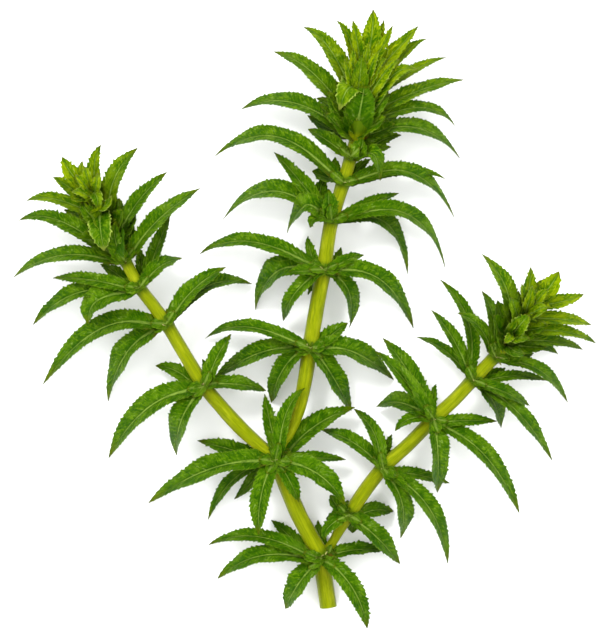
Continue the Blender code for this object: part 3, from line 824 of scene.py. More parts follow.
print("length of that leaf:", round(lengths_of(level_leaf)[0], 2), "mm")

# %% Width of a blade
# A blade's width at places along it, as a share of its greatest.
BLADE_WIDTHS = [
    (0.0, 0.48),
    (0.08, 0.78),
    (0.20, 0.92),
    (0.42, 1.0),
    (0.55, 0.98),
    (0.70, 0.80),
    (0.85, 0.49),
    (0.94, 0.22),
    (1.0, 0.02),
]
BLUNT_WIDTHS = [(0.0, 0.75), (0.2, 0.95), (0.5, 1.0), (0.8, 0.82), (1.0, 0.2)]
BROAD_WIDTHS = [(0.0, 0.60), (0.12, 0.88), (0.32, 1.0), (0.60, 0.92), (0.82, 0.58), (1.0, 0.02)]


def width_at(share, widths):
    """A blade's width at a share along it, as a share of its greatest."""
    for (start, near), (end, far) in zip(widths, widths[1:]):
        if share <= end:
            t = (share - start) / (end - start)
            return near + (far - near) * t
    return widths[-1][1]


print("width three quarters along:", round(width_at(0.75, BLADE_WIDTHS), 2))

# %% Fold of a blade
FOLD = 0.46  # the rise of each half from the midrib
ROLL = 0.10  # how much the margins roll back
MOST_SPREAD = 1.5  # how much a tilted blade may be widened to show its width from above
MOST_UPRIGHT = 0.2  # a blade whose way along is less level than this isn't widened


def spread_of(across, upright, along, half, fold):
    """How much to widen a folded section, and where to move it, to keep its width from above."""
    side = Vector((-along.y, along.x, 0.0))
    if side.length < MOST_UPRIGHT:
        return 1.0, Vector((0.0, 0.0, 0.0))
    side.normalize()
    lift = upright * (fold - ROLL)
    left = (lift - across).dot(side) * half
    right = (lift + across).dot(side) * half
    spread = min(MOST_SPREAD, max(1.0, 2.0 * half / max(abs(right - left), 0.01)))
    return spread, side * (-0.5 * spread * (left + right))


print("a blade may be widened up to", MOST_SPREAD, "times")

# %% What sets one leaf apart
def character_of(seed, teeth):
    """A leaf's own number, twist, waves and teeth, drawn from its seed."""
    chance = random.Random(seed)
    character = {
        "number": chance.random(),
        "twist": chance.uniform(-0.22, 0.22),
        "wave": chance.uniform(0.05, 0.12),
        "waves": chance.uniform(1.5, 3.2),
        "phase": chance.uniform(0.0, math.tau),
    }
    sizes = {-1: [], 1: []}
    for side in (-1, 1):
        large = chance.randint(0, 2)
        for number in range(teeth + 1):
            low, high = (0.75, 1.35) if (number + large) % 3 == 0 else (0.15, 0.55)
            sizes[side].append(chance.uniform(low, high))
    character["teeth"] = sizes
    return character


print("sizes of one margin's teeth:", [round(size, 2) for size in character_of(1, 5)["teeth"][1]])

# %% Rows of a blade
TOOTH_ROWS = [0.0, 0.38, 0.70, 0.90]  # where a tooth's rows are, as shares of its length
BLADE_ROOM = 1.08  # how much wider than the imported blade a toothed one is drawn
STALK_SHARE = 0.12  # the share of a leaf in which its teeth and its widening come in


def rows_of(course, seen, growth, width, widths, fold, teeth, character):
    """Each row's share along, place, ways across and up, outer side and half width."""
    rows = []
    for row in range(len(TOOTH_ROWS) * teeth + 1):
        share = min(1.0, (row // 4 + TOOTH_ROWS[row % 4]) / teeth)
        place, across, along = course(share)
        across = Matrix.Rotation(character["twist"] * (share - 0.3), 3, along) @ across
        upright = along.cross(across).normalized()
        outer = 1 if across.dot(growth) >= 0.0 else -1
        half = 0.5 * BLADE_ROOM * width * width_at(max(share, seen_share(share, seen)), widths)
        spread, shift = spread_of(across, upright, along, half, fold)
        place = place + shift * min(1.0, share / STALK_SHARE)
        rows.append((share, place, across, upright, outer, half * spread))
    return rows


level_seen = lengths_of(level_leaf)[1]
level_rows = rows_of(level_leaf, level_seen, UP, 4.0, BLADE_WIDTHS, FOLD, 5, character_of(1, 5))
print("rows of a leaf with five teeth:", len(level_rows))

# %% Teeth and waves
TOOTH_REACH = [0.0, 0.35, 0.78, 1.0]  # how far out the margin is at each row of a tooth
TOOTH_MIDDLE = 0.45  # the reach at which the margin is neither out nor in
INNER_TEETH = 0.7  # the size of the teeth on a leaf's inner side
POINT_SHARE = 0.14  # the share of a leaf in which its teeth fade out
PUCKER = 0.08  # the height of the puckers in millimetres
RIB_RISE = 0.03


def tooth_out(row, share, half, width, tooth, side_size, own_size):
    """How far a tooth moves the margin out at a row, in millimetres."""
    fade = min(1.0, share / STALK_SHARE) * min(1.0, (1.0 - share) / POINT_SHARE)
    size = tooth * fade * side_size * own_size
    reach = TOOTH_REACH[row % 4] if share < 1.0 else 0.0
    return max(-0.5 * half, size * (reach - TOOTH_MIDDLE) * min(1.0, 0.35 + width / 5.0))


def rise_at(u, side, share, half, fold, teeth, character):
    """How far a point is above its midrib: the fold, the roll, the waves and the puckers."""
    phase = character["phase"]
    rise = half * (fold * abs(u) - ROLL * u * u)
    wave = math.sin(math.tau * character["waves"] * share + phase + side)
    rise += half * character["wave"] * wave * u * u
    ripple = math.sin(math.tau * (share * teeth * 0.5 - abs(u) * 0.9) + phase)
    rise += PUCKER * ripple * math.sin(math.pi * abs(u))
    if u == 0.0:
        rise += RIB_RISE
    return rise


print("the margin goes out and in by", [round(reach - TOOTH_MIDDLE, 2) for reach in TOOTH_REACH])

# %% Leaf
COLUMNS = [-1.0, -0.72, -0.38, -0.09, 0.0, 0.09, 0.38, 0.72, 1.0]
TOOTH_LENGTH = 0.98
TOOTH_SIZE = 0.56
LEAF_THICKNESS = 0.16
FEWEST_TEETH = 5


def draw_leaf(
    bm,
    base,
    arch,
    tip,
    width,
    growth,
    age,
    seed,
    pale=0.0,
    tooth=TOOTH_SIZE,
    thickness=LEAF_THICKNESS,
    part=ON_LEAF,
    widths=BLADE_WIDTHS,
    fold=FOLD,
):
    """A toothed leaf with a folded, wavy blade."""
    course = midrib(base, arch, tip, growth)
    length, seen = lengths_of(course)
    teeth = max(FEWEST_TEETH, round(length / TOOTH_LENGTH))
    character = character_of(seed, teeth)
    rows = rows_of(course, seen, growth, width, widths, fold, teeth, character)
    last = len(rows) - 1
    place_store = bm.verts.layers.float_vector["leaf_place"]
    life_store = bm.verts.layers.float_vector["leaf_life"]
    before = len(bm.faces)
    grid = bmesh.ops.create_grid(bm, x_segments=8, y_segments=last, size=1.0)["verts"]
    for vert in grid:
        u = COLUMNS[round((vert.co.x + 1.0) * 4.0)]
        row = round((vert.co.y + 1.0) * 0.5 * last)
        share, place, across, upright, outer, half = rows[row]
        side = 1 if u > 0.0 else -1
        out = u * half
        if abs(u) == 1.0:
            side_size = 1.0 if side == outer else INNER_TEETH
            own_size = character["teeth"][side][row // 4]
            out += side * tooth_out(row, share, half, width, tooth, side_size, own_size)
        rise = rise_at(u, side, share, half, fold, teeth, character)
        vert.co = place + across * out + upright * rise
        vert[place_store] = (u, share, character["number"])
        vert[life_store] = (age, length / SIZE_LENGTH, pale)
    bm.faces.ensure_lookup_table()
    blade = bm.faces[before:]
    for face in blade:
        face.material_index = part
    bmesh.ops.solidify(bm, geom=blade, thickness=thickness)


print("a leaf is", LEAF_THICKNESS, "mm thick, with a tooth every", TOOTH_LENGTH, "mm")

# %% [markdown]
# ## Joints
#
# At a joint the stem swells into a knot. The leaves' stalk ends clasp it, small dry scales and
# bracts stand between them, and a short lobe of each leaf's base runs up onto the knot's front.
# The bracts, scales and lobes could each have a shape of their own, but they are small leaves on
# the plant too, so they are drawn as leaves. The knot is a short tube with a profile of its own.

# %% Where a leaf clasps its stem
def outward(centre, growth, towards):
    """The direction square to a stem that points most nearly at a place."""
    away = towards - centre
    return (away - growth * away.dot(growth)).normalized()


def front_of(growth):
    """The direction square to a stem that points most nearly up."""
    return (UP - growth * growth.dot(UP)).normalized()


def stalk_end(centre, growth, radius, arch):
    """Where a leaf clasps its stem: nearer the front for a leaf that arches high."""
    out = outward(centre, growth, arch)
    raised = min(1.0, max(0.0, (arch.z - centre.z + 2.5) / 3.0))
    return centre + (out + front_of(growth) * 1.8 * raised).normalized() * radius * 1.04


print("the front of a level stem:", front_of(Vector((0.0, 1.0, 0.0)))[:])

# %% Lobe of a leaf's base
LOBE_WIDTHS = [(0.0, 0.55), (0.25, 0.90), (0.55, 1.0), (0.80, 0.75), (1.0, 0.15)]
LOBE_REACH = 1.5  # how far past the stem's side a lobe meets its leaf
LOBE_WIDTH = 2.2  # the most that a lobe may be wide
LOBE_TOOTH = 0.10
LOBE_THICKNESS = 0.12
LOBE_FOLD = 0.20


def draw_lobe(bm, centre, growth, radius, base, arch, tip, width, age, seed):
    """The part of a leaf's base that runs up onto the front of the knot."""
    course = midrib(base, arch, tip, growth)
    share = 0.0
    place = base
    while share < 0.5 and (place - centre).to_2d().length < radius + LOBE_REACH:
        share += 0.02
        place = course(share)[0]
    heading = (place - centre).to_2d().to_3d().normalized()
    start = centre + front_of(growth) * (radius + 0.34) - heading * 0.45
    end = place + UP * 0.22
    over = (start + end) * 0.5 + UP * 0.42
    draw_leaf(
        bm,
        start,
        over,
        end,
        LOBE_WIDTH * min(1.0, 0.4 + width / 6.0),
        growth,
        age,
        seed,
        tooth=LOBE_TOOTH,
        thickness=LOBE_THICKNESS,
        widths=LOBE_WIDTHS,
        fold=LOBE_FOLD,
    )


print("a lobe is at most", LOBE_WIDTH, "mm wide")

# %% Bracts and scales
SCALE_COUNT = 13
BRACT_COUNT = 9
SMALL_THICKNESS = 0.10


def round_ways(growth, count, chance):
    """Directions square to a stem, unevenly spaced all round it."""
    side = growth.cross(UP).normalized()
    over = side.cross(growth).normalized()
    for number in range(count):
        angle = math.tau * (number + chance.uniform(-0.3, 0.3)) / count
        yield side * math.cos(angle) + over * math.sin(angle)


def draw_bracts(bm, centre, growth, radius, chance):
    """The short green bracts that stand round a knot, shortest at its front."""
    for out in round_ways(growth, BRACT_COUNT, chance):
        lean = chance.uniform(0.7, 1.5)
        long = chance.uniform(0.9, 1.7) if out.z > 0.5 else chance.uniform(1.4, 2.8)
        base = centre + out * radius * 0.95 + growth * chance.uniform(-0.3, 0.4)
        tip = base + (growth * math.cos(lean) + out * math.sin(lean)) * long
        arch = (base + tip) * 0.5 + (growth + out) * 0.12 * long
        wide = long * chance.uniform(0.40, 0.62)
        age = chance.uniform(0.0, 0.7)
        own = chance.randint(1, 9999)
        draw_leaf(bm, base, arch, tip, wide, growth, age, own, 0.2, 0.12, SMALL_THICKNESS)


def draw_scales(bm, centre, growth, radius, chance):
    """The dry scales that stand round a knot."""
    for out in round_ways(growth, SCALE_COUNT, chance):
        base = centre + out * (radius + 0.2) + growth * chance.uniform(-0.4, 0.5)
        long = chance.uniform(0.9, 1.3) if out.z > 0.3 else chance.uniform(0.5, 1.1)
        tip = base + out * long * chance.uniform(0.6, 0.9) + growth * long * chance.uniform(-0.3, 0.5)
        arch = (base + tip) * 0.5 + out * 0.12
        wide = chance.uniform(0.3, 0.6)
        own = chance.randint(1, 9999)
        draw_leaf(bm, base, arch, tip, wide, growth, 0.8, own, 0.0, 0.0, SMALL_THICKNESS, ON_SCALE)


print("bracts and scales at a joint:", BRACT_COUNT, SCALE_COUNT)

# %% Knot
KNOT_HEIGHTS = [-1.4, -1.0, -0.65, -0.3, 0.0, 0.3, 0.65, 1.0, 1.4]
KNOT_RISES = [-0.06, 0.03, 0.12, 0.25, 0.32, 0.28, 0.15, 0.04, -0.06]
KNOT_SIDES = 32
KNOT_RIDGE = 0.030


def draw_joint(bm, centre, growth, radius, seed):
    """The knot round a stem, with its small bracts and dry scales."""
    chance = random.Random(seed)
    course = []
    for height, rise in zip(KNOT_HEIGHTS, KNOT_RISES):
        place = centre + growth * height
        course.append(Vector((*place, radius + rise)))
    draw_tube(bm, course, KNOT_SIDES, [centre], chance.random(), KNOT_RIDGE)
    draw_bracts(bm, centre, growth, radius, chance)
    draw_scales(bm, centre, growth, radius, chance)


print("a knot stands out from its stem by", max(KNOT_RISES), "mm")

# %% [markdown]
# ## Where each leaf goes
#
# A leaf is set by three things: where its point lies, where its arch is half way along, and its
# greatest width. Its stalk end sits on its stem. Leaves could be scattered by a rule, but lists
# like these can be corrected one leaf at a time against the plant, which a rule can't.

# %% Leaf places of the main stem
LEAVES_BASE = [
    ((-19.3, -45.2, 0.0), (-9.4, -43.1, 4.6), 2.7),
    ((-17.5, -52.0, 0.0), (-8.8, -46.8, 5.0), 3.4),
    ((-6.7, -40.2, 0.6), (-3.1, -43.1, 2.0), 2.8),
    ((-3.9, -58.0, 0.8), (-1.8, -52.8, 5.6), 3.8),
    ((12.6, -62.0, 0.0), (9.9, -53.9, 5.0), 3.6),
    ((16.7, -46.2, 0.4), (10.5, -45.7, 2.8), 2.4),
    ((2.7, -40.2, 1.0), (3.1, -43.4, 1.5), 2.2),
]
LEAVES_FORK = [
    ((-21.5, -24.2, 2.4), (-14.6, -25.6, 3.6), 2.9),
    ((-31.4, -36.8, 0.0), (-19.0, -29.2, 6.5), 4.0),
    ((-19.4, -40.2, 0.0), (-15.0, -32.2, 4.5), 2.3),
    ((-14.1, -36.0, 0.6), (-10.7, -32.1, 3.2), 2.1),
    ((-9.2, -43.0, 5.8), (-8.9, -35.3, 9.4), 3.7),
    ((-1.1, -36.4, 7.6), (-2.8, -32.1, 9.4), 2.8),
    ((8.1, -37.0, 8.4), (3.1, -30.5, 9.0), 4.0),
    ((8.3, -28.0, 3.6), (2.1, -27.3, 6.0), 2.1),
    ((10.1, -17.5, 4.8), (1.6, -21.0, 4.6), 3.8),
    ((-8.0, -14.8, 5.0), (-6.9, -20.3, 5.6), 2.8),
    ((0.1, -13.6, 9.2), (-3.9, -18.7, 8.8), 2.8),
]
print("leaves at the base and at the fork:", len(LEAVES_BASE), len(LEAVES_FORK))

# %% Leaf places of the left shoot
LEAVES_LEFT_1 = [
    ((-29.9, -9.2, 2.6), (-25.4, -10.2, 5.2), 2.8),
    ((-39.4, -27.8, 0.0), (-31.9, -17.2, 6.5), 4.1),
    ((-25.7, -27.2, 1.2), (-25.4, -20.2, 9.0), 3.8),
    ((-14.7, -2.8, 6.0), (-17.8, -7.3, 8.5), 2.9),
    ((-20.5, -7.8, 4.6), (-19.7, -9.8, 4.6), 1.6),
    ((-7.7, -14.2, 2.6), (-12.9, -12.5, 7.0), 2.7),
]
LEAVES_LEFT_2 = [
    ((-52.6, -13.0, 0.0), (-41.2, -1.3, 6.0), 3.9),
    ((-39.5, -16.4, 0.0), (-36.5, -6.6, 6.0), 3.9),
    ((-15.7, 10.6, 6.0), (-22.4, 6.5, 8.5), 3.2),
    ((-10.5, 7.2, 1.0), (-19.1, 7.4, 6.0), 2.9),
    ((-26.9, 3.6, 5.0), (-26.5, 1.8, 5.0), 1.6),
]
LEAVES_LEFT_3 = [
    ((-50.5, 8.4, 3.0), (-42.9, 8.3, 7.5), 2.6),
    ((-54.6, -1.0, 0.0), (-46.0, 5.7, 5.6), 3.1),
    ((-43.3, -0.8, 7.0), (-41.7, 4.4, 8.8), 4.6),
    ((-24.5, 12.4, 5.0), (-28.9, 11.2, 8.5), 2.8),
    ((-26.9, 21.0, 4.4), (-29.7, 14.8, 6.0), 2.7),
    ((-40.9, 11.2, 3.6), (-37.9, 9.6, 5.4), 2.6),
    ((-33.3, 14.8, 5.0), (-32.7, 11.2, 5.2), 2.2),
]
LEAVES_LEFT_4 = [
    ((-58.5, 8.6, 0.0), (-48.9, 13.3, 6.5), 2.8),
    ((-57.3, 19.9, 3.4), (-48.6, 20.0, 8.0), 3.3),
    ((-20.9, 26.4, 4.6), (-29.4, 20.5, 9.0), 3.2),
    ((-37.6, 19.8, 12.4), (-37.8, 15.4, 11.6), 3.2),
    ((-35.6, 21.2, 5.6), (-35.1, 17.2, 6.6), 2.6),
]
print("leaves of the left shoot's first joint:", len(LEAVES_LEFT_1))

# %% Leaf places of the centre shoot
LEAVES_CENTRE_1 = [
    ((-19.9, -3.7, 1.2), (-11.4, -1.0, 7.0), 2.5),
    ((-18.5, -12.4, 0.8), (-10.3, -6.5, 5.6), 3.3),
    ((-6.7, -16.6, 0.0), (-5.0, -10.3, 6.2), 3.4),
    ((9.4, -18.2, 0.6), (6.3, -11.2, 7.2), 3.6),
    ((17.9, -12.0, 0.3), (10.3, -5.9, 6.4), 3.9),
    ((8.7, -0.6, 5.0), (5.6, -2.5, 6.4), 3.0),
]
LEAVES_CENTRE_2 = [
    ((-21.1, 13.2, 1.0), (-10.7, 16.1, 7.0), 2.9),
    ((-9.9, 2.0, 0.0), (-6.5, 9.9, 6.0), 4.2),
    ((-3.1, 9.6, 12.4), (-0.7, 10.0, 11.4), 2.2),
    ((-4.3, -0.2, 2.6), (-2.3, 5.3, 9.6), 2.8),
    ((0.7, 5.0, 3.4), (1.9, 8.0, 4.2), 1.6),
    ((9.0, -1.6, 1.0), (9.6, 5.0, 6.6), 3.0),
    ((21.9, -1.7, 0.0), (15.7, 8.4, 7.0), 3.5),
    ((7.3, 14.6, 5.4), (6.6, 12.6, 5.2), 1.8),
    ((11.9, 13.0, 6.0), (8.7, 12.3, 8.0), 2.2),
    ((0.7, 16.8, 6.0), (1.1, 14.3, 7.0), 1.9),
]
LEAVES_CENTRE_3 = [
    ((-16.5, 20.0, 0.8), (-7.0, 26.4, 7.0), 3.5),
    ((-6.1, 33.6, 5.0), (-0.9, 28.2, 8.0), 3.0),
    ((-3.5, 17.4, 6.0), (-0.1, 23.4, 11.0), 3.7),
    ((1.1, 18.4, 10.6), (2.0, 20.4, 12.0), 2.0),
    ((4.9, 26.0, 12.2), (5.1, 23.2, 11.8), 3.0),
    ((4.3, 28.6, 4.6), (3.2, 25.2, 5.6), 3.4),
    ((18.9, 25.4, 5.0), (13.4, 23.6, 7.5), 2.4),
    ((28.3, 10.4, 0.0), (20.9, 21.6, 7.0), 3.0),
    ((20.7, 9.2, 0.0), (16.9, 19.6, 5.4), 2.9),
]
LEAVES_CENTRE_4 = [
    ((-18.1, 32.8, 0.8), (-5.8, 37.2, 7.5), 3.3),
    ((30.1, 20.6, 0.0), (21.5, 29.9, 7.0), 2.9),
    ((28.3, 28.2, 3.5), (20.5, 30.0, 5.4), 2.0),
    ((13.3, 32.2, 5.6), (11.0, 30.6, 6.2), 2.0),
    ((6.1, 32.6, 6.6), (6.2, 30.6, 7.0), 2.0),
    ((1.5, 29.8, 5.0), (3.9, 29.2, 5.6), 2.8),
]
LEAVES_CENTRE_5 = [
    ((0.7, 38.2, 7.2), (4.6, 36.3, 9.2), 2.9),
    ((15.1, 27.8, 10.4), (14.0, 33.3, 13.0), 2.7),
    ((17.3, 34.6, 6.4), (14.1, 34.2, 7.6), 2.1),
    ((11.3, 36.4, 12.6), (11.0, 34.4, 11.6), 3.2),
    ((19.4, 37.0, 4.6), (15.2, 36.1, 5.6), 2.6),
]
print("leaves of the centre shoot's first joint:", len(LEAVES_CENTRE_1))

# %% Leaf places of the right shoot
LEAVES_RIGHT_1 = [
    ((17.9, -38.4, 0.6), (13.9, -37.9, 3.3), 2.9),
    ((19.2, -49.0, 0.6), (14.8, -43.1, 5.8), 3.5),
    ((5.2, -35.0, 4.4), (6.5, -36.7, 5.4), 2.6),
    ((4.1, -44.0, 6.4), (4.8, -41.4, 7.2), 2.4),
    ((9.6, -42.8, 1.2), (9.9, -41.0, 1.9), 2.4),
    ((4.3, -39.8, 3.0), (5.9, -39.4, 4.2), 2.6),
]
LEAVES_RIGHT_2 = [
    ((3.2, -22.0, 2.5), (9.6, -23.9, 6.5), 2.8),
    ((9.9, -17.8, 2.8), (14.1, -22.3, 6.5), 2.6),
    ((17.5, -22.9, 4.2), (16.5, -25.2, 3.8), 2.0),
    ((29.2, -32.8, 0.4), (23.0, -30.8, 5.0), 2.2),
    ((28.8, -49.0, 0.0), (25.5, -37.6, 6.0), 3.1),
    ((19.3, -43.9, 0.6), (20.1, -36.9, 7.6), 3.3),
]
LEAVES_RIGHT_3 = [
    ((15.7, -3.6, 3.4), (21.2, -10.2, 7.6), 3.4),
    ((14.1, -6.2, 7.8), (19.8, -11.2, 9.4), 2.8),
    ((14.4, -17.5, 2.0), (18.9, -15.9, 6.4), 3.5),
    ((18.1, -22.2, 7.6), (20.9, -19.6, 9.2), 2.1),
    ((26.4, -12.8, 6.0), (25.8, -14.8, 7.0), 1.7),
    ((38.6, -20.3, 3.6), (32.3, -19.9, 6.5), 2.3),
    ((43.2, -38.9, 0.0), (36.8, -27.1, 6.0), 3.3),
    ((26.7, -34.6, 2.0), (27.2, -27.1, 9.5), 3.5),
]
LEAVES_RIGHT_4 = [
    ((22.3, -3.4, 3.0), (27.9, -5.6, 7.5), 1.9),
    ((25.4, 2.0, 4.0), (29.9, -3.4, 8.0), 2.5),
    ((27.1, 8.2, 2.4), (33.1, -0.3, 6.4), 2.6),
    ((48.7, -12.2, 0.6), (42.1, -11.0, 5.2), 1.9),
    ((45.2, -17.2, 2.4), (40.6, -14.3, 7.4), 2.4),
    ((49.8, -28.3, 0.0), (43.4, -18.5, 6.0), 2.8),
    ((39.5, -21.8, 0.4), (38.7, -16.7, 5.6), 3.2),
    ((40.3, -9.6, 3.6), (37.9, -10.8, 4.8), 2.2),
]
LEAVES_RIGHT_5 = [
    ((30.5, 1.4, 8.4), (35.1, -1.1, 10.0), 2.3),
    ((35.5, 5.8, 5.0), (38.0, 0.5, 8.0), 2.7),
    ((52.9, -16.6, 0.0), (47.5, -9.9, 6.4), 2.4),
    ((45.9, -6.6, 5.2), (43.3, -7.2, 7.0), 2.1),
    ((50.9, -6.9, 1.6), (46.0, -5.0, 5.6), 2.3),
]
print("leaves of the right shoot's first joint:", len(LEAVES_RIGHT_1))

# %% [markdown]
# ## Whorls
#
# All the leaves of one joint are one piece with its knot, because a packed whorl is one solid.
# They could be drawn in one go as a single mesh, but then no joint could be changed by itself.

# %% Leafy knot
def direction_at(route, index):
    """The way that a route runs at one of its points."""
    before = Vector(route[max(index - 1, 0)][:3])
    after = Vector(route[min(index + 1, len(route) - 1)][:3])
    return (after - before).normalized()


def leafy_knot(name, node, centre, growth, knot_radius, stem_radius, rows, age, seed):
    """The knot of one joint with the leaves that grow there."""
    shape = new_shape()
    draw_joint(shape, centre, growth, knot_radius, seed)
    for number, (tip, arch, width) in enumerate(rows):
        tip = Vector(tip)
        arch = Vector(arch)
        own = seed * 100 + number
        base = stalk_end(centre, growth, stem_radius, arch)
        draw_leaf(shape, base, arch, tip, width, growth, age, own)
        draw_lobe(shape, centre, growth, stem_radius, base, arch, tip, width, age, own)
    finish_piece(name, shape, node)


print("the main stem runs this way at its first joint:", direction_at(MAIN_STEM, BASE_JOINT)[:])

# %% Whorls of leaves
# The solid that each whorl stands for, its stem, its place on the stem, its leaves and its age.
WHORLS = [
    ("leaf_whorl_base", MAIN_STEM, BASE_JOINT, LEAVES_BASE, 0.0),
    ("leaf_whorl_left_1", LEFT_STEM, 3, LEAVES_LEFT_1, 0.03),
    ("leaf_whorl_left_2", LEFT_STEM, 5, LEAVES_LEFT_2, 0.03),
    ("leaf_whorl_left_3", LEFT_STEM, 7, LEAVES_LEFT_3, 0.06),
    ("leaf_whorl_left_4", LEFT_STEM, 8, LEAVES_LEFT_4, 0.08),
    ("leaf_whorl_centre_1", CENTRE_STEM, 4, LEAVES_CENTRE_1, 0.02),
    ("leaf_whorl_centre_2", CENTRE_STEM, 6, LEAVES_CENTRE_2, 0.04),
    ("leaf_whorl_centre_3", CENTRE_STEM, 8, LEAVES_CENTRE_3, 0.06),
    ("leaf_whorl_centre_4", CENTRE_STEM, 9, LEAVES_CENTRE_4, 0.08),
    ("leaf_whorl_centre_5", CENTRE_STEM, 10, LEAVES_CENTRE_5, 0.12),
    ("leaf_whorl_right_1", RIGHT_STEM, 2, LEAVES_RIGHT_1, 0.02),
    ("leaf_whorl_right_2", RIGHT_STEM, 4, LEAVES_RIGHT_2, 0.03),
    ("leaf_whorl_right_3", RIGHT_STEM, 6, LEAVES_RIGHT_3, 0.04),
    ("leaf_whorl_right_4", RIGHT_STEM, 8, LEAVES_RIGHT_4, 0.06),
    ("leaf_whorl_right_5", RIGHT_STEM, 9, LEAVES_RIGHT_5, 0.10),
]
for number, (node, route, index, rows, age) in enumerate(WHORLS, 1):
    name = node.replace("leaf_whorl", "leafy_joint")
    centre = Vector(route[index][:3])
    growth = direction_at(route, index)
    radius = route[index][3]
    leafy_knot(name, node, centre, growth, radius, radius, rows, age, number)

# %% [markdown]
# ## The fork
#
# Where the main stem parts in two, the knot is a rounded lump that is thicker than either stem,
# and the leaves grow from its middle. The two shoots could be joined with a boolean, but the
# lump hides where they meet, so the knot of a joint does, drawn a little larger.

# %% Fork
FORK_RADIUS = 1.75
FORK_STEM_RADIUS = 1.7
FORK_AGE = 0.02
FORK_SEED = 31

leafy_knot(
    "leafy_fork",
    "leaf_whorl_fork",
    Vector(KNOT_PLACE),
    Vector(KNOT_GROWTH).normalized(),
    FORK_RADIUS,
    FORK_STEM_RADIUS,
    LEAVES_FORK,
    FORK_AGE,
    FORK_SEED,
)

# %% [markdown]
# ## Shoot tips
#
# A shoot ends in crowded young leaves round a core. The outer ones are placed one by one, as on
# the joints. A leaf of a shoot tip also says how far up the core it grows. Those that arch
# highest are in the solids too, but here they are skipped and given again in lists of their own,
# because they curl towards the viewer and each has its own age and paleness.

# %% Tip of the left shoot
LEFT_TIP_CORE = [(-37.7, 15.6, 8.3, 0.95), (-40.9, 22.0, 8.8, 1.0), (-43.9, 28.0, 9.2, 0.6)]
LEFT_TIP_LEAVES = [
    (0.05, (-27.5, 29.6, 6.4), (-33.5, 23.9, 8.5), 2.9),
    (0.30, (-33.3, 34.4, 8.5), (-38.4, 28.1, 10.0), 3.5),
    (0.60, (-40.6, 35.0, 10.0), (-42.2, 30.0, 10.5), 2.8),
    (0.95, (-44.3, 31.7, 11.4), (-44.4, 29.6, 11.0), 1.7),
    (0.80, (-48.4, 32.6, 8.5), (-46.4, 29.2, 9.5), 3.3),
    (0.60, (-50.3, 28.6, 7.0), (-47.1, 26.8, 8.0), 2.8),
    (0.40, (-55.7, 23.8, 5.0), (-49.7, 24.4, 7.5), 2.5),
    (0.50, (-39.9, 13.8, 12.0), (-40.7, 18.4, 13.4), 4.4),
    (0.70, (-40.4, 24.0, 13.0), (-41.0, 22.6, 11.8), 2.6),
    (0.85, (-46.6, 24.4, 12.2), (-44.8, 24.4, 11.6), 2.4),
    (0.40, (-48.2, 22.1, 4.0), (-44.9, 21.3, 5.4), 2.8),
]
print("placed leaves of the left tip:", len(LEFT_TIP_LEAVES))

# %% Tip of the centre shoot
CENTRE_TIP_CORE = [(9.9, 35.9, 8.5, 1.05), (10.5, 42.0, 8.8, 1.1), (11.7, 50.0, 9.2, 0.6)]
CENTRE_TIP_LEAVES = [
    (0.05, (-12.9, 42.2, 1.6), (-2.2, 43.9, 8.0), 3.2),
    (0.02, (31.3, 32.4, 0.0), (22.4, 38.9, 7.0), 2.8),
    (0.18, (30.3, 38.8, 2.4), (22.8, 42.8, 7.5), 2.4),
    (0.20, (-6.3, 53.8, 4.0), (2.3, 49.3, 9.0), 3.5),
    (0.50, (-0.2, 58.6, 6.5), (5.6, 53.9, 9.5), 3.5),
    (0.80, (6.4, 59.8, 9.5), (9.3, 55.5, 10.5), 2.4),
    (0.95, (9.6, 59.8, 11.0), (10.6, 55.6, 11.8), 2.3),
    (0.98, (13.7, 62.0, 9.5), (13.4, 56.6, 10.0), 3.8),
    (0.98, (15.9, 60.0, 9.0), (14.5, 55.4, 9.0), 2.2),
    (0.90, (17.6, 58.8, 9.8), (15.4, 54.6, 10.8), 2.1),
    (0.80, (22.8, 58.8, 7.5), (18.9, 54.8, 9.0), 2.9),
    (0.65, (24.5, 56.2, 6.5), (19.7, 53.4, 8.5), 2.4),
    (0.50, (28.5, 52.6, 5.0), (20.8, 49.7, 8.0), 2.1),
    (0.30, (32.1, 48.2, 2.4), (22.5, 46.1, 7.5), 2.8),
    (0.60, (6.9, 41.8, 13.0), (9.0, 45.2, 14.4), 3.6),
    (0.60, (22.7, 49.6, 11.0), (17.7, 48.8, 12.4), 2.6),
    (0.75, (12.3, 53.0, 14.0), (11.9, 50.6, 13.0), 3.0),
    (0.20, (2.4, 44.4, 5.0), (6.4, 42.6, 6.4), 3.0),
    (0.20, (18.6, 40.8, 4.4), (14.4, 40.0, 6.0), 3.0),
    (0.10, (13.3, 45.8, 13.8), (11.2, 41.8, 13.4), 4.6),
    (0.02, (0.6, 41.0, 3.8), (4.9, 38.8, 5.4), 3.0),
]
print("placed leaves of the centre tip:", len(CENTRE_TIP_LEAVES))

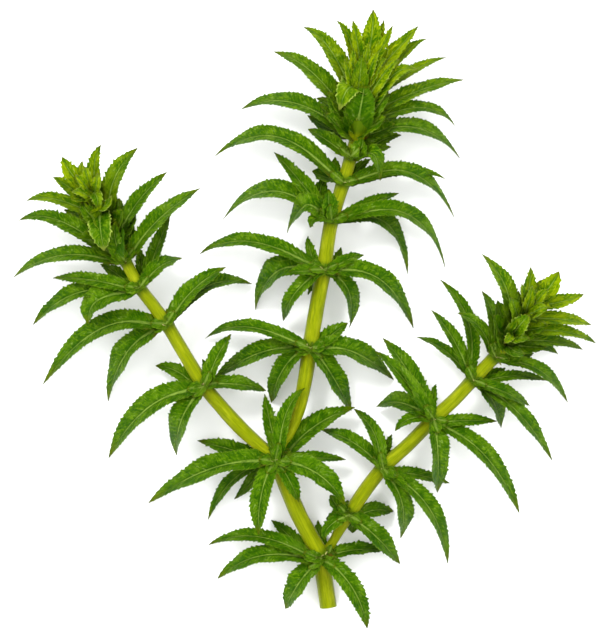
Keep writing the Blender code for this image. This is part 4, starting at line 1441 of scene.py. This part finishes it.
# %% Tip of the right shoot
RIGHT_TIP_CORE = [(40.1, -4.8, 8.0, 1.05), (43.1, 0.0, 8.5, 1.0), (47.0, 5.0, 9.2, 0.6)]
RIGHT_TIP_LEAVES = [
    (0.15, (35.5, 13.2, 5.2), (40.8, 5.9, 9.0), 3.2),
    (0.50, (45.2, 10.6, 8.0), (44.9, 6.2, 10.0), 2.7),
    (0.98, (50.8, 9.7, 10.0), (48.9, 6.6, 10.6), 3.7),
    (0.80, (47.9, 8.4, 7.0), (47.3, 6.4, 7.6), 2.0),
    (0.80, (55.9, 5.2, 6.5), (51.8, 4.0, 8.5), 2.6),
    (0.55, (57.5, -1.0, 4.0), (51.9, 0.4, 7.5), 2.5),
    (0.30, (58.5, -4.7, 2.4), (52.1, -2.1, 7.5), 2.2),
    (0.10, (55.9, -6.0, 0.6), (50.4, -4.1, 5.6), 2.2),
    (0.30, (44.7, 1.2, 13.0), (43.3, -1.4, 12.4), 3.0),
    (0.10, (42.9, -3.0, 12.4), (41.7, -4.4, 11.2), 2.2),
    (0.70, (49.1, 2.6, 12.6), (47.3, 2.6, 11.8), 2.6),
    (0.10, (38.9, 0.9, 4.6), (39.5, -1.8, 6.0), 2.4),
]
print("placed leaves of the right tip:", len(RIGHT_TIP_LEAVES))

# %% Leaves at the front of the left tip
# How far up the core each grows, its point, its arch, its width, its age and its paleness.
# A negative paleness paints shade over the whole leaf.
LEFT_TIP_FRONT = [
    (0.25, (-44.4, 23.6, 11.0), (-42.8, 21.2, 12.0), 3.2, 0.20, 0.3),
    (0.08, (-37.2, 19.2, 11.6), (-36.9, 15.6, 12.4), 4.2, 0.02, -0.7),
    (0.50, (-39.9, 13.7, 12.4), (-40.7, 18.2, 13.6), 4.4, 0.12, 0.9),
    (0.62, (-38.5, 24.9, 12.0), (-39.8, 22.9, 13.0), 1.9, 0.60, 0.7),
    (0.80, (-41.2, 22.0, 12.8), (-41.4, 24.6, 13.2), 2.3, 0.40, 0.6),
    (0.80, (-45.6, 29.0, 12.2), (-44.0, 27.4, 12.8), 1.9, 1.00, 0.4),
    (0.85, (-43.9, 30.6, 12.2), (-43.3, 28.4, 13.0), 1.9, 1.00, 0.4),
    (0.75, (-41.3, 29.4, 12.0), (-41.6, 27.0, 13.0), 2.1, 0.90, 0.4),
    (0.62, (-46.4, 25.6, 11.6), (-44.0, 25.4, 12.6), 2.0, 0.80, 0.4),
]
print("front leaves of the left tip:", len(LEFT_TIP_FRONT))

# %% Leaves at the front of the centre tip
CENTRE_TIP_FRONT = [
    (0.12, (17.0, 45.2, 10.6), (14.4, 42.6, 11.8), 3.4, 0.05, 0.2),
    (0.10, (4.4, 45.6, 10.0), (7.0, 42.0, 11.4), 3.6, 0.05, 0.2),
    (0.03, (11.9, 46.5, 12.8), (11.3, 43.2, 13.5), 5.7, 0.03, -0.5),
    (0.30, (22.6, 49.8, 10.8), (17.4, 48.7, 12.2), 3.2, 0.85, 0.5),
    (0.42, (19.0, 52.0, 11.8), (15.6, 48.9, 12.8), 2.8, 0.85, 0.5),
    (0.72, (6.9, 41.7, 12.8), (8.7, 46.2, 13.9), 4.2, 0.45, 1.0),
    (0.48, (11.5, 52.7, 12.9), (11.2, 50.1, 13.8), 3.4, 0.45, -0.3),
    (0.52, (7.9, 52.0, 12.4), (8.9, 49.4, 13.3), 2.1, 0.90, 0.6),
    (0.62, (9.9, 54.2, 12.6), (9.7, 51.2, 13.4), 1.9, 1.00, 0.5),
    (0.66, (14.9, 53.6, 12.6), (13.5, 51.2, 13.5), 2.1, 1.00, 0.6),
    (0.70, (12.9, 55.4, 12.4), (12.3, 52.6, 13.3), 1.9, 1.00, 0.5),
    (0.60, (16.6, 51.9, 12.4), (14.6, 50.6, 13.2), 1.9, 0.95, 0.5),
]
print("front leaves of the centre tip:", len(CENTRE_TIP_FRONT))

# %% Leaves at the front of the right tip
RIGHT_TIP_FRONT = [
    (0.02, (38.9, -2.4, 11.4), (39.2, -4.2, 11.4), 2.6, 0.12, 0.1),
    (0.02, (43.9, -6.6, 11.0), (42.0, -6.0, 11.6), 2.6, 0.10, 0.3),
    (0.12, (45.0, -3.6, 11.8), (42.7, -3.4, 12.4), 2.2, 0.50, 0.5),
    (0.10, (44.9, 1.0, 12.8), (43.0, -0.8, 13.2), 3.4, 0.40, 0.6),
    (0.20, (39.7, -4.7, 12.8), (40.9, -3.4, 13.2), 1.7, 0.90, 0.9),
    (0.45, (41.2, 4.6, 12.2), (42.1, 2.4, 12.8), 2.6, 0.40, 0.1),
    (0.55, (48.8, 2.6, 12.2), (46.6, 2.2, 12.8), 2.4, 0.70, 0.4),
    (0.60, (45.4, 6.8, 12.4), (45.0, 4.6, 13.2), 2.0, 0.95, 0.5),
    (0.75, (48.6, 6.2, 12.4), (47.2, 5.0, 13.2), 2.0, 1.00, 0.5),
    (0.70, (43.3, 7.2, 11.8), (44.0, 5.0, 12.6), 1.9, 0.85, 0.4),
]
print("front leaves of the right tip:", len(RIGHT_TIP_FRONT))

# %% [markdown]
# ### Between the placed leaves
#
# The small inner leaves follow the rule that the plant grows by: each comes out a golden angle
# further round than the last, shorter, narrower and more upright towards the end. They could be
# placed one by one too, but there are too many, and they hide each other.

# %% Crowded young leaves
GOLDEN_ANGLE = math.radians(137.5)
YOUNG_THICKNESS = 0.12
TIP_FLOOR = 1.0
TIP_CEILING = 12.6  # inner leaves stay below those at the front
ARCH_CEILING = 12.4


def young_leaves(shape, start, end, count, longest, seed):
    """Short leaves set spirally up a shoot tip."""
    chance = random.Random(seed)
    growth = (end - start).normalized()
    side = growth.cross(UP).normalized()
    over = side.cross(growth).normalized()
    for number in range(count):
        share = number / (count - 1)
        centre = start.lerp(end, 0.05 + 0.90 * share)
        angle = number * GOLDEN_ANGLE + chance.uniform(-0.2, 0.2)
        out = side * math.cos(angle) + over * math.sin(angle)
        long = longest * (1.0 - 0.55 * share) * chance.uniform(0.85, 1.1)
        lean = 1.15 - 0.85 * share + chance.uniform(-0.1, 0.1)
        heading = growth * math.cos(lean) + out * math.sin(lean)
        base = centre + out * 0.4
        tip = base + heading * long
        arch = base + heading * long * 0.5 + out * long * 0.10 + growth * long * 0.06
        tip.z = min(max(tip.z, TIP_FLOOR), TIP_CEILING)
        arch.z = min(arch.z, ARCH_CEILING)
        wide = 3.4 - 1.5 * share
        age = min(1.0, 0.15 + 1.1 * share)
        own = seed * 100 + number
        draw_leaf(shape, base, arch, tip, wide, growth, age, own, 0.3, 0.34, YOUNG_THICKNESS)


print("young leaves in one turn:", round(math.tau / GOLDEN_ANGLE, 2))

# %% [markdown]
# ### The neck of the centre shoot
#
# Below its crowded leaves the centre shoot shows a wide stem that is young and still green. It
# could be part of the stem, but it belongs to the tip's solid, so it is a short tube of its own.
# Six small leaf ends lie on its upper edge.

# %% Neck
CENTRE_NECK = [
    (10.3, 35.4, 8.6, 1.5),
    (10.6, 37.2, 8.9, 2.1),
    (10.8, 38.6, 9.1, 2.6),
    (10.9, 39.9, 9.2, 2.7),
]
NECK_SIDES = 32
NECK_ROUND = 7.4  # the square of the neck's radius in millimetres
NECK_LEAVES = 6
TIP_RIDGE = 0.02


def draw_neck(shape, growth):
    """The wide young stem below the centre shoot's crowded leaves, with small leaf ends on it."""
    neck = Vector(CENTRE_NECK[-1][:3])
    green_from = Vector(CENTRE_NECK[-2][:3])
    course = smooth_course(CENTRE_NECK, STEM_STEP)
    draw_tube(shape, course, NECK_SIDES, [green_from, neck], 0.3, TIP_RIDGE)
    for number in range(NECK_LEAVES):
        aside = -2.1 + 0.84 * number
        height = math.sqrt(NECK_ROUND - aside * aside)
        base = neck + Vector((aside, -0.35 + 0.1 * number, height))
        tip = base + Vector((0.3 * aside, 0.55, 0.15))
        arch = (base + tip) * 0.5 + UP * 0.1
        draw_leaf(shape, base, arch, tip, 0.4, growth, 1.0, number, 0.8, 0.0, 0.1)


print("the neck is", 2 * CENTRE_NECK[-1][3], "mm wide at its top")

# %% Placed and front leaves
FRONT_HEIGHT = 12.39  # leaves that arch higher are given again, with their looks
FRONT_FOLD = 0.25  # the young leaves at the front are flatter than the others


def placed_leaves(shape, start, end, growth, rows, youth, seed):
    """The leaves that were placed one by one, except those at the front."""
    for number, (share, tip, arch, width) in enumerate(rows):
        if arch[2] > FRONT_HEIGHT:
            continue
        tip = Vector(tip)
        arch = Vector(arch)
        centre = start.lerp(end, share)
        base = centre + outward(centre, growth, arch) * 0.3
        age = min(1.0, max(0.05, 1.35 * share + youth))
        draw_leaf(shape, base, arch, tip, width, growth, age, seed * 100 + 50 + number)


def widths_for(width):
    """How a front leaf's width changes along it: broad young leaves have blunter points."""
    if width > 5.0:
        return BLUNT_WIDTHS
    return BROAD_WIDTHS if width > 3.0 else BLADE_WIDTHS


def front_leaves(shape, start, end, growth, rows, seed):
    """The leaves that curl towards the viewer, each with its age and paleness."""
    for number, (share, tip, arch, width, age, pale) in enumerate(rows):
        tip = Vector(tip)
        arch = Vector(arch)
        centre = start.lerp(end, share)
        base = centre + outward(centre, growth, arch) * 0.6
        own = seed * 100 + 80 + number
        looks = {"pale": pale, "widths": widths_for(width), "fold": FRONT_FOLD}
        draw_leaf(shape, base, arch, tip, width, growth, age, own, **looks)


print("leaves that arch above", FRONT_HEIGHT, "mm are at the front")

# %% Shoot tips
CORE_SIDES = 20


def shoot_tip(node, core, rows, front, extra, longest, youth, seed):
    """A shoot tip: its core, the placed leaves, the crowded ones and those at the front."""
    start = Vector(core[0][:3])
    end = Vector(core[-1][:3])
    growth = (end - start).normalized()
    shape = new_shape()
    lower = Vector(core[0]) - Vector((*growth, 0.0)) * 1.2
    course = smooth_course([lower, *core], 0.8)
    draw_tube(shape, course, CORE_SIDES, [start, start + growth * 2.0, end], 0.5, TIP_RIDGE)
    if node == "shoot_tip_centre":
        draw_neck(shape, growth)
    placed_leaves(shape, start, end, growth, rows, youth, seed)
    young_leaves(shape, start, end, extra, longest, seed)
    front_leaves(shape, start, end, growth, front, seed)
    finish_piece(node.replace("shoot_tip", "leafy_tip"), shape, node)


shoot_tip("shoot_tip_left", LEFT_TIP_CORE, LEFT_TIP_LEAVES, LEFT_TIP_FRONT, 26, 7.5, -0.04, 41)
shoot_tip("shoot_tip_centre", CENTRE_TIP_CORE, CENTRE_TIP_LEAVES, CENTRE_TIP_FRONT, 36, 9.5, -0.06, 42)
shoot_tip("shoot_tip_right", RIGHT_TIP_CORE, RIGHT_TIP_LEAVES, RIGHT_TIP_FRONT, 26, 7.5, 0.10, 43)

# %% [markdown]
# ## Table
#
# The sprig lies on a plain white table. A grid of one face is enough, as it is flat and nothing
# shows its edge. Its paint is very slightly uneven, because an even white looks like no surface.

# %% Table
TABLE_HALF = 1.5  # metres from the table's middle to its edge

table_shape = bmesh.new()
bmesh.ops.create_grid(table_shape, x_segments=1, y_segments=1, size=TABLE_HALF)
table_mesh = bpy.data.meshes.new("table")
table_shape.to_mesh(table_mesh)
table_shape.free()
table = bpy.data.objects.new("table", table_mesh)
bpy.context.scene.collection.objects.link(table)
print("table side in metres:", 2.0 * TABLE_HALF)

# %% Table paint
paint, paint_tree, paint_shader = new_finish("table_white")
paint_place = put(paint_tree, "ShaderNodeTexCoord", {}).outputs["Object"]
paint_clouds = mottle(paint_tree, paint_place, 30.0)
paint_white = blend_colours(paint_tree, paint_clouds, (0.92, 0.92, 0.92), (0.95, 0.95, 0.95))
paint_tree.links.new(paint_white, paint_shader.inputs["Base Color"])
paint_shader.inputs["Roughness"].default_value = 0.8
table_mesh.materials.append(paint)
print("table paint nodes:", len(paint_tree.nodes))

# %% [markdown]
# ## Light
#
# Soft light comes from all round. One large lamp could give it, but its shadows would show on
# the table, so a bright sky does. A small lamp high on the left puts glints on the leaves, and
# a weaker, wider one on the right keeps their far sides from going black.

# %% Light
SKY_STRENGTH = 1.92


def soft_lamp(name, place, size, power):
    """A square lamp that faces the sprig. Its size is in metres and its power in watts."""
    lamp = bpy.data.lights.new(name, "AREA")
    lamp.shape = "SQUARE"
    lamp.size = size
    lamp.energy = power
    stand = bpy.data.objects.new(name, lamp)
    stand.location = place
    stand.rotation_mode = "QUATERNION"
    stand.rotation_quaternion = (-Vector(place)).to_track_quat("-Z", "Y")
    bpy.context.scene.collection.objects.link(stand)


soft_lamp("lamp_left", (-0.25, 0.35, 0.60), 0.14, 2.8)
soft_lamp("lamp_right", (0.45, 0.10, 0.50), 0.30, 0.7)
sky = bpy.data.worlds.new("pale_sky")
sky.use_nodes = True
sky.node_tree.nodes["Background"].inputs["Color"].default_value = (1.0, 1.0, 1.0, 1.0)
sky.node_tree.nodes["Background"].inputs["Strength"].default_value = SKY_STRENGTH
bpy.context.scene.world = sky
bpy.context.scene.view_settings.view_transform = "Standard"
print("lamps:", [light.name for light in bpy.data.lights])

# %% [markdown]
# ## Camera
#
# The camera looks straight down. It could be a flat view without depth, but that looks drawn.
# Instead it has a long lens and stands far back, so that near leaves look hardly larger than
# far ones.

# %% Camera
VIEW_LENGTH = 0.128  # metres of table along the picture's long side
LENS = 400.0
SENSOR = 36.0
MIDDLE_HEIGHT = 0.007
SIDE_SHIFT = -0.0002

camera_data = bpy.data.cameras.new("camera")
camera_data.lens = LENS
camera_data.sensor_width = SENSOR
camera_data.clip_start = 0.01
camera_data.clip_end = 20.0
camera = bpy.data.objects.new("camera", camera_data)
camera.location = (SIDE_SHIFT, 0.0, MIDDLE_HEIGHT + VIEW_LENGTH * LENS / SENSOR)
bpy.context.scene.collection.objects.link(camera)
bpy.context.scene.camera = camera
print("camera height in metres:", round(camera.location.z, 3))
